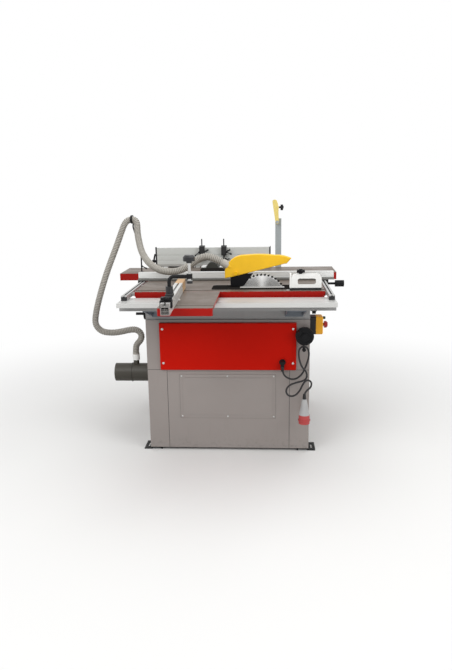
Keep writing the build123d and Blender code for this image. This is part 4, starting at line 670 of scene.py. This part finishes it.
# Hose and cable
HOSE_ROUTE = [
    (-15, 45, 966), (-70, 45, 998), (-122, 66, 996), (-168, 84, 966), (-218, 92, 932), (-275, 98, 916),
    (-346, 128, 920), (-416, 204, 948), (-472, 304, 995), (-503, 387, 1060), (-514, 421, 1104),
    (-516, 440, 1146), (-533, 451, 1164), (-561, 453, 1164), (-586, 446, 1147), (-606, 434, 1096),
    (-636, 414, 1012), (-684, 382, 890), (-724, 348, 760), (-748, 324, 660), (-752, 312, 600),
    (-715, 304, 562), (-655, 301, 556), (-604, 300, 563), (-558, 300, 574), (-524, 300, 576),
    (-500, 300, 562), (-491, 300, 537), (-500, 300, 512), (-521, 300, 494), (-528, 300, 470),
    (-528, 300, 437),
]
CABLE_ROUTE = [
    (273, -32, 460), (273, -32, 428), (294, -33, 402), (334, -35, 393), (368, -38, 420), (387, -40, 462),
    (402, -42, 512), (401, -44, 546), (387, -46, 566.5), (364, -48, 566.5), (350, -50, 546),
    (353, -51, 505), (366, -53, 465), (388, -56, 444), (394, -59, 416), (378, -62, 397),
    (340, -66, 389), (304, -70, 376), (287, -73, 348), (300, -75, 322), (332, -77, 322), (358, -80, 352),
    (372, -82, 388), (391, -84, 410), (413, -86, 400), (412, -88, 374), (388, -90, 354), (379, -90, 336),
    (379, -90, 312),
]
HOSE_R = 18 * MM
HOSE_VALLEY = 15.6 * MM
RIB_PITCH = 9 * MM
RING_STEP = 1.05 * MM
HOSE_END = 10 * MM
HOSE_SIDES = 24
HOSE_FINENESS = 64
CABLE_R = 4.5 * MM
CABLE_FINENESS = 12
CABLE_FACETS = 5


def route_curve(name, route, fineness):
    """Smooth line through a route's control points."""
    data = bpy.data.curves.new(name, "CURVE")
    data.dimensions = "3D"
    spline = data.splines.new("NURBS")
    spline.points.add(len(route) - 1)
    for point, place in zip(spline.points, route):
        point.co = (*at(*place), 1)
    spline.order_u = 3
    spline.use_endpoint_u = True
    spline.resolution_u = fineness
    data.resolution_u = fineness
    piece = bpy.data.objects.new(name, data)
    bpy.context.collection.objects.link(piece)
    return piece


def line_points(curve, step):
    """Points at even steps along a route's line."""
    mesh = bpy.data.meshes.new_from_object(curve)
    points = [v.co.copy() for v in mesh.vertices]
    bpy.data.meshes.remove(mesh)
    runs = [(b - a).length for a, b in zip(points, points[1:])]
    total = sum(runs)
    count = round(total / step)
    walk = [points[0]]
    here, gone = 0, 0.0
    for k in range(1, count):
        want = total * k / count
        while gone + runs[here] < want:
            gone += runs[here]
            here += 1
        walk.append(points[here].lerp(points[here + 1], (want - gone) / runs[here]))
    return walk + [points[-1]]


def ribbed_hose():
    """Tube along the hose's line with one rib wound round it, and plain ends."""
    guide = route_curve("hose_line", HOSE_ROUTE, HOSE_FINENESS)
    walk = line_points(guide, RING_STEP)
    bpy.data.objects.remove(guide)
    steps = [0.0] + [(b - a).length for a, b in zip(walk, walk[1:])]
    total = sum(steps)
    gone = 0.0
    side = Vector((0, 1, 0))
    bm = bmesh.new()
    height = bm.verts.layers.float.new("rib")
    rings = []
    for i, here in enumerate(walk):
        ahead = (walk[min(i + 1, len(walk) - 1)] - walk[max(i - 1, 0)]).normalized()
        side = (side - ahead * side.dot(ahead)).normalized()
        other = ahead.cross(side)
        gone += steps[i]
        plain = min(gone, total - gone) < HOSE_END
        ring = []
        for k in range(HOSE_SIDES):
            share = k / HOSE_SIDES
            rib = 1 if plain else 0.5 + 0.5 * math.cos(2 * math.pi * (gone / RIB_PITCH - share))
            radius = HOSE_VALLEY + (HOSE_R - HOSE_VALLEY) * rib
            turn = 2 * math.pi * share
            vert = bm.verts.new(here + (side * math.cos(turn) + other * math.sin(turn)) * radius)
            vert[height] = rib
            ring.append(vert)
        rings.append(ring)
    for low, high in zip(rings, rings[1:]):
        for k in range(HOSE_SIDES):
            bm.faces.new((low[k], low[(k + 1) % HOSE_SIDES], high[(k + 1) % HOSE_SIDES], high[k]))
    for ring in (rings[0], rings[-1]):
        bm.faces.new(ring)
    bmesh.ops.recalc_face_normals(bm, faces=bm.faces)
    mesh = bpy.data.meshes.new("hose")
    bm.to_mesh(mesh)
    bm.free()
    for face in mesh.polygons:
        face.use_smooth = True
    mesh.materials.append(hose_plastic().material)
    piece = bpy.data.objects.new("hose", mesh)
    bpy.context.collection.objects.link(piece)
    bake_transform(piece)
    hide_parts("dust_hose")


def supply_cable(sleeves):
    """Round sheathed cable along its line, hung in loops."""
    piece = route_curve("cable", CABLE_ROUTE, CABLE_FINENESS)
    piece.data.bevel_depth = CABLE_R
    piece.data.bevel_resolution = CABLE_FACETS
    piece.data.use_fill_caps = True
    piece.data.materials.append(sheath.material)
    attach(piece, "frame")
    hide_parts("supply_cable")


# Small fittings, modelled at the origin and then settled in their places, in millimetres
SMOOTH_ANGLE = 35
FORWARD = (90, 0, 0)
BACKWARD = (-90, 0, 0)
COVER_FACE = -2
COVER_SCREWS = [(x, z) for x in (-236, -3, 230) for z in (187, 401)]
RED_COVER_FACE = -15
RED_COVER_SCREWS = [(x, z) for x in (-323, 325) for z in (472, 647)]
RED_COVER_SCREW_SIZE = 1.45
INSERT_TOP = 848.6
INSERT_SCREWS = [(x, y) for y in (-42, 78) for x in (-58, 321)]
FENCE_TURN = 2.1
FENCE_PIVOT = (-207, -335)
FENCE_END_Y = -690
WEB_INSET = 1.5
WEB_DEPTH = 60
WEB_PORTS = [(x, z) for x in (-7, 7) for z in (860, 872.5)]
CUTTER_X = -118
HOOD_PLATE_OFFSET = 53
HOOD_PLATE_SEAT = (635, 878)
PLATE_HOLE_OFFSET = 30
CABINET_BACK = 830
# Left, right, low and high edges of the rear panel
REAR_PANEL = (-260, 260, 100, 420)
PANEL_THICK = 2.5
PANEL_SCREW_INSET = 14
# Width, depth and height of a louvre
LOUVRE = (110, 9, 14)
LOUVRE_SLOPE = 0.8
LOUVRE_COLUMNS = (-125, 125)
LOUVRE_PITCH = 28
LOUVRE_MARGINS = (70, 50)
LOUVRE_OUT = 4
CHEEK_BACK = 824
BOLT_OFFSET = 145
BOLT_HEIGHTS = (505, 650)
APRON_ENDS = (-428, 465)
APRON_SEAT = (0, -111.2, 827)
# Lengths and seat of the dark strip that stands in for the shade under the planer fence
SHADE_STRIP_LENGTHS = ((-484, -451.5), (-408.5, -251.5), (-208.5, 212))
SHADE_STRIP_SEAT = (0, 829, 847.5)
# Root of each presser lever along the fence, and its slope in degrees
PRESSER_LEVERS = ((-216, 232), (-50, 112))
PRESSER_CLAMP = (797, 945)
HOLDER_CLAMP = (-528, 566, 893)
HOLDER_LEVER_SLOPE = 118
CUFF_R = 20.2
CUFF_GROOVE_R = 19.2
CUFF_LIP_R = 18.6


def turned(name, rings, sides=24):
    """Turned piece on the vertical axis, drawn up ring by ring from pairs of radius and height."""
    radius, height = rings[0]
    bpy.ops.object.select_all(action="DESELECT")
    bpy.ops.mesh.primitive_circle_add(vertices=sides, radius=radius * MM, fill_type="NGON",
                                      location=(0, 0, height * MM))
    piece = bpy.context.object
    piece.name = name
    bpy.ops.object.transform_apply(location=True, rotation=True, scale=True)
    bpy.ops.object.mode_set(mode="EDIT")
    bpy.ops.mesh.select_all(action="SELECT")
    for wide, high in rings[1:]:
        bpy.ops.mesh.extrude_region_move(TRANSFORM_OT_translate={"value": (0, 0, (high - height) * MM)})
        bpy.ops.transform.resize(value=(wide / radius, wide / radius, 1), center_override=(0, 0, high * MM))
        radius, height = wide, high
    bpy.ops.mesh.select_all(action="SELECT")
    bpy.ops.mesh.normals_make_consistent(inside=False)
    bpy.ops.object.mode_set(mode="OBJECT")
    return piece


def bar(name, low, high, bevel):
    """Straight bar between two corners in millimetres, with its edges broken."""
    size = [(b - a) * MM for a, b in zip(low, high)]
    middle = [(a + b) / 2 * MM for a, b in zip(low, high)]
    bpy.ops.object.select_all(action="DESELECT")
    bpy.ops.mesh.primitive_cube_add(size=1, location=middle)
    piece = bpy.context.object
    piece.name = name
    piece.scale = size
    bpy.ops.object.transform_apply(location=True, rotation=True, scale=True)
    bpy.ops.object.mode_set(mode="EDIT")
    bpy.ops.mesh.select_all(action="SELECT")
    bpy.ops.mesh.bevel(offset=bevel * MM, segments=2)
    bpy.ops.object.mode_set(mode="OBJECT")
    return piece


def cut(piece, tool):
    """Take a tool's shape out of a piece."""
    bpy.context.view_layer.objects.active = piece
    change = piece.modifiers.new("cut", "BOOLEAN")
    change.object = tool
    change.operation = "DIFFERENCE"
    change.solver = "EXACT"
    bpy.ops.object.modifier_apply(modifier=change.name)
    bpy.data.objects.remove(tool)


def joined(*pieces):
    """Pieces made one, under the first one's name."""
    bpy.ops.object.select_all(action="DESELECT")
    for piece in pieces:
        piece.select_set(True)
    bpy.context.view_layer.objects.active = pieces[0]
    bpy.ops.object.join()
    return pieces[0]


def copy_of(piece, name):
    """A copy with a mesh of its own."""
    twin = piece.copy()
    twin.data = piece.data.copy()
    twin.name = name
    bpy.context.collection.objects.link(twin)
    return twin


def apply_place(piece):
    """Put a piece's place, turn and size into its mesh."""
    bpy.ops.object.select_all(action="DESELECT")
    piece.select_set(True)
    bpy.context.view_layer.objects.active = piece
    bpy.ops.object.transform_apply(location=True, rotation=True, scale=True)


def moved(piece, x, y, z):
    """Shift a piece by millimetres within its own mesh."""
    piece.location = Vector((x, y, z)) * MM
    apply_place(piece)
    return piece


def settle(piece, place, body, finish, turn=(0, 0, 0), size=1):
    """Put a piece in its place, with that place in its mesh, and give it its body and finish."""
    piece.rotation_euler = [math.radians(a) for a in turn]
    piece.scale = (size, size, size)
    piece.location = place
    apply_place(piece)
    bpy.ops.object.shade_smooth_by_angle(angle=math.radians(SMOOTH_ANGLE))
    piece.data.materials.clear()
    piece.data.materials.append(finish.material)
    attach(piece, body)


def cross_screw(name):
    """Pan-head screw with a cross recess, its seat at the origin."""
    head = turned(name, [(4.4, -0.6), (4.4, 1.0), (4.0, 1.8), (2.9, 2.5), (1.2, 2.7)], 20)
    for wide, deep in ((4.6, 0.9), (0.9, 4.6)):
        cut(head, bar("recess", (-wide / 2, -deep / 2, 1.3), (wide / 2, deep / 2, 4), 0.15))
    return head


def cover_screws():
    """Screws round the access cover, at the red cover's corners and in the table insert."""
    screw = cross_screw("cover_screw")
    places = [(x, COVER_FACE, z, 1) for x, z in COVER_SCREWS]
    places += [(x, RED_COVER_FACE, z, RED_COVER_SCREW_SIZE) for x, z in RED_COVER_SCREWS]
    for i, (x, y, z, size) in enumerate(places):
        settle(copy_of(screw, f"cover_screw_{i + 1}"), at(x, y, z), "frame", steel, FORWARD, size)
    for i, (x, y) in enumerate(INSERT_SCREWS):
        settle(copy_of(screw, f"insert_screw_{i + 1}"), at(x, y, INSERT_TOP), "frame", black)
    bpy.data.objects.remove(screw)


def sleeve_rings(start, end, length, grooves):
    """Tapered rubber sleeve with grooves that let it flex."""
    rings = [(start, -1), (start, 3)]
    pitch = (length - 5) / grooves
    for k in range(grooves):
        wide = start + (end - start) * (k + 1) / grooves
        foot = 3 + k * pitch
        neck = wide - 0.9
        rings += [(neck, foot + 0.3), (neck, foot + pitch * 0.35)]
        rings += [(wide, foot + pitch * 0.45), (wide, foot + pitch)]
    return rings + [(end - 0.6, length)]


def cable_sleeves():
    """Strain reliefs where the cable leaves the gland and where it goes into the plug."""
    gland = turned("gland_sleeve", sleeve_rings(9.5, 7.0, 24, 4))
    plug = turned("plug_sleeve", sleeve_rings(9.0, 6.9, 26, 4))
    settle(gland, at(*CABLE_ROUTE[0]), "frame", sheath, (180, 0, 0))
    settle(plug, at(*CABLE_ROUTE[-1]), "frame", sheath)
    return [gland, plug]


def fence_end_web():
    """Inner webs and screw ports that show in the crosscut fence's open front end."""
    end = FENCE_END_Y - FENCE_PIVOT[1]
    front, back = end + WEB_INSET, end + WEB_DEPTH
    upright = bar("fence_web", (-1.2, front, 855), (1.2, back, 878), 0.2)
    across = bar("fence_web_cross", (-14, front, 865), (14, back, 867.4), 0.2)
    ports = []
    for x, z in WEB_PORTS:
        port = turned("screw_port", [(3.6, 0), (3.6, 58), (2.4, 58), (2.4, 40)], 16)
        port.rotation_euler.x = math.radians(FORWARD[0])
        ports.append(moved(port, x, back, z))
    web = joined(upright, across, *ports)
    settle(web, at(*FENCE_PIVOT, 0), "crosscut", web_alu, (0, 0, FENCE_TURN))


def hood_plates():
    """Bright clamp plates on both sides of the cutter hood's dome."""
    for i, x in enumerate((CUTTER_X - HOOD_PLATE_OFFSET, CUTTER_X + HOOD_PLATE_OFFSET)):
        plate = bar(f"hood_plate_{i + 1}", (-13, -48, -0.5), (13, 48, 4), 0.8)
        for y in (-PLATE_HOLE_OFFSET, PLATE_HOLE_OFFSET):
            hole = turned("plate_hole", [(3.2, 2.0), (3.2, 3.2), (5.2, 5.0)], 16)
            cut(plate, moved(hole, 0, y, 0))
        settle(plate, at(x, *HOOD_PLATE_SEAT), "frame", plate_alu)


def louvre():
    """Pressed louvre that stands out at its lower edge."""
    bpy.ops.object.select_all(action="DESELECT")
    bpy.ops.mesh.primitive_cube_add(size=1)
    piece = bpy.context.object
    piece.name = "louvre"
    piece.scale = Vector(LOUVRE) * MM
    bpy.ops.object.transform_apply(location=True, rotation=True, scale=True)
    bpy.ops.object.mode_set(mode="EDIT")
    bpy.ops.mesh.select_mode(type="VERT")
    bpy.ops.mesh.select_all(action="DESELECT")
    bm = bmesh.from_edit_mesh(piece.data)
    for vert in bm.verts:
        vert.select = vert.co.y > 0 and vert.co.z > 0
    bm.select_flush(True)
    bmesh.update_edit_mesh(piece.data)
    bpy.ops.transform.translate(value=(0, -LOUVRE_SLOPE * LOUVRE[1] * MM, 0))
    bpy.ops.mesh.select_all(action="SELECT")
    bpy.ops.mesh.bevel(offset=MM, segments=2)
    bpy.ops.object.mode_set(mode="OBJECT")
    return piece


def rear_panel():
    """Service panel on the cabinet's back, with louvres for the motors and its screws."""
    left, right, low, high = REAR_PANEL
    panel = bar("rear_panel", (left, -0.5, low), (right, PANEL_THICK, high), 0.8)
    hood = louvre()
    rows = range(low + LOUVRE_MARGINS[0], high - LOUVRE_MARGINS[1], LOUVRE_PITCH)
    places = [(x, z) for x in LOUVRE_COLUMNS for z in rows]
    hoods = [moved(copy_of(hood, "louvre_copy"), x, LOUVRE_OUT, z) for x, z in places]
    bpy.data.objects.remove(hood)
    settle(joined(panel, *hoods), at(0, CABINET_BACK, 0), "frame", grey)
    screw = cross_screw("rear_screw")
    columns = (left + PANEL_SCREW_INSET, 0, right - PANEL_SCREW_INSET)
    seats = [(x, z) for x in columns for z in (low + PANEL_SCREW_INSET, high - PANEL_SCREW_INSET)]
    for i, (x, z) in enumerate(seats):
        seat = at(x, CABINET_BACK + PANEL_THICK, z)
        settle(copy_of(screw, f"rear_screw_{i + 1}"), seat, "frame", steel, BACKWARD)
    bpy.data.objects.remove(screw)


def cheek_bolts():
    """Hexagon bolts with washers that hold the planer's rear cheek."""
    head = turned("cheek_bolt", [(6.5, 0.5), (7.4, 1.4), (7.4, 5.2), (6.3, 6.0)], 6)
    washer = turned("washer", [(9.5, -0.5), (9.5, 1.1), (9.1, 1.5)])
    bolt = joined(head, washer)
    places = [(x, z) for x in (CUTTER_X - BOLT_OFFSET, CUTTER_X + BOLT_OFFSET) for z in BOLT_HEIGHTS]
    for i, (x, z) in enumerate(places):
        seat = at(x, CHEEK_BACK, z)
        settle(copy_of(bolt, f"cheek_bolt_{i + 1}"), seat, "frame", steel, BACKWARD)
    bpy.data.objects.remove(bolt)


def table_apron():
    """Folded strip under the saw table's front rim, down to the slide rail."""
    left, right = APRON_ENDS
    face = bar("table_apron", (left, 0, -20), (right, 3, 0.3), 0.5)
    lip = bar("apron_lip", (left, 0, -21), (right, 14, -18.5), 0.5)
    settle(joined(face, lip), at(*APRON_SEAT), "frame", table_iron)


def fence_shade_strip():
    """Black strip under the planer fence, in three lengths between its hinges, standing in for the shade in
    the gap under the fence.
    """
    lengths = [bar("fence_shade_strip", (x0, 0, 0), (x1, 4, 9), 0.6) for x0, x1 in SHADE_STRIP_LENGTHS]
    settle(joined(*lengths), at(*SHADE_STRIP_SEAT), "planer_fence", black)


def clamp_lever(name):
    """Turned clamp lever with a ball end, its root at the origin."""
    arm = [(5.5, -3), (5.5, 3), (4.0, 6), (2.9, 12), (2.9, 22)]
    ball = [(4.2, 26), (5.2, 30), (4.6, 33), (2.4, 35)]
    return turned(name, arm + ball, 16)


def clamp_levers():
    """Levers of the pressers' clamps on the planer fence, and of the clamp on the hose holder's rod."""
    for i, (x, slope) in enumerate(PRESSER_LEVERS):
        lever = clamp_lever(f"presser_lever_{i + 1}")
        settle(lever, at(x, *PRESSER_CLAMP), "planer_fence", black, (0, slope, 0))
    lever = clamp_lever("holder_lever")
    settle(lever, at(*HOLDER_CLAMP), "frame", black, (0, HOLDER_LEVER_SLOPE, 0))


def hose_cuff():
    """Grooved cuff that holds the hose on the guard's nozzle."""
    rings = [(CUFF_LIP_R, -10), (CUFF_R, -9)]
    for z in (-6, 2, 10, 18):
        rings += [(CUFF_R, z), (CUFF_GROOVE_R, z + 1), (CUFF_GROOVE_R, z + 3), (CUFF_R, z + 4)]
    rings += [(CUFF_R, 25), (CUFF_LIP_R, 26)]
    start, ahead = Vector(HOSE_ROUTE[0]), Vector(HOSE_ROUTE[1])
    slope = math.degrees(math.atan2(start.x - ahead.x, start.z - ahead.z))
    cuff = turned("hose_cuff", rings, 32)
    settle(cuff, at(*start), "saw_guard", cuff_plastic, (0, slope, 0))


cover_screws()
rear_panel()
cheek_bolts()
table_apron()
fence_shade_strip()
clamp_levers()
hose_cuff()
ribbed_hose()
supply_cable(cable_sleeves())
fence_end_web()
hood_plates()


# Stage and light, in metres
FLOOR_SIZE = 40
FLOOR_WHITE = 1.9
FLOOR_FADE = 1.1
SKY_LIGHT = 0.55
LIT_PLACE = Vector((0, 0, 0.7))
# Name, place, size and power of each lamp
LAMPS = (
    ("key", (-2.2, -3.2, 3.6), 2.6, 95),
    ("fill", (3.0, -2.4, 2.6), 2.4, 60),
    ("top", (0.2, 0.6, 4.2), 3.0, 55),
)


def pale_floor():
    """Matt floor that keeps the shadow near the machine and goes white further off."""
    f = Finish("pale_floor", FLOOR_GREY, 0.75)
    x, y, _ = f.xyz()
    far = (x * x + y * y).math("SQRT").above(FLOOR_WHITE, FLOOR_FADE)
    white_light = f.add("ShaderNodeEmission", {}, {"Color": (1, 1, 1, 1), "Strength": 1})
    matt = Val(f, f.shader.outputs[0])
    both = f.add("ShaderNodeMixShader", {}, {0: far * f.background_rays(), 1: matt, 2: white_light})
    f.put(f.nodes["Material Output"], "Surface", both)
    return f


def studio():
    """Floor, white surroundings and three soft lamps."""
    bpy.ops.object.select_all(action="DESELECT")
    bpy.ops.mesh.primitive_plane_add(size=FLOOR_SIZE, location=(0, 0, 0))
    floor = bpy.context.object
    floor.name = "floor"
    floor.data.materials.append(pale_floor().material)
    world = bpy.data.worlds.new("studio")
    sky = Tree(world)
    glow = sky.nodes["Background"]
    sky.put(glow, "Color", (1.0, 1.0, 1.0, 1))
    sky.put(glow, "Strength", SKY_LIGHT + sky.background_rays() * (1 - SKY_LIGHT))
    bpy.context.scene.world = world
    for name, place, size, power in LAMPS:
        data = bpy.data.lights.new(name, "AREA")
        data.size = size
        data.energy = power
        lamp = bpy.data.objects.new(name, data)
        lamp.location = place
        lamp.rotation_euler = (LIT_PLACE - lamp.location).to_track_quat("-Z", "Y").to_euler()
        bpy.context.collection.objects.link(lamp)
    bpy.context.scene.view_settings.view_transform = "Standard"


studio()
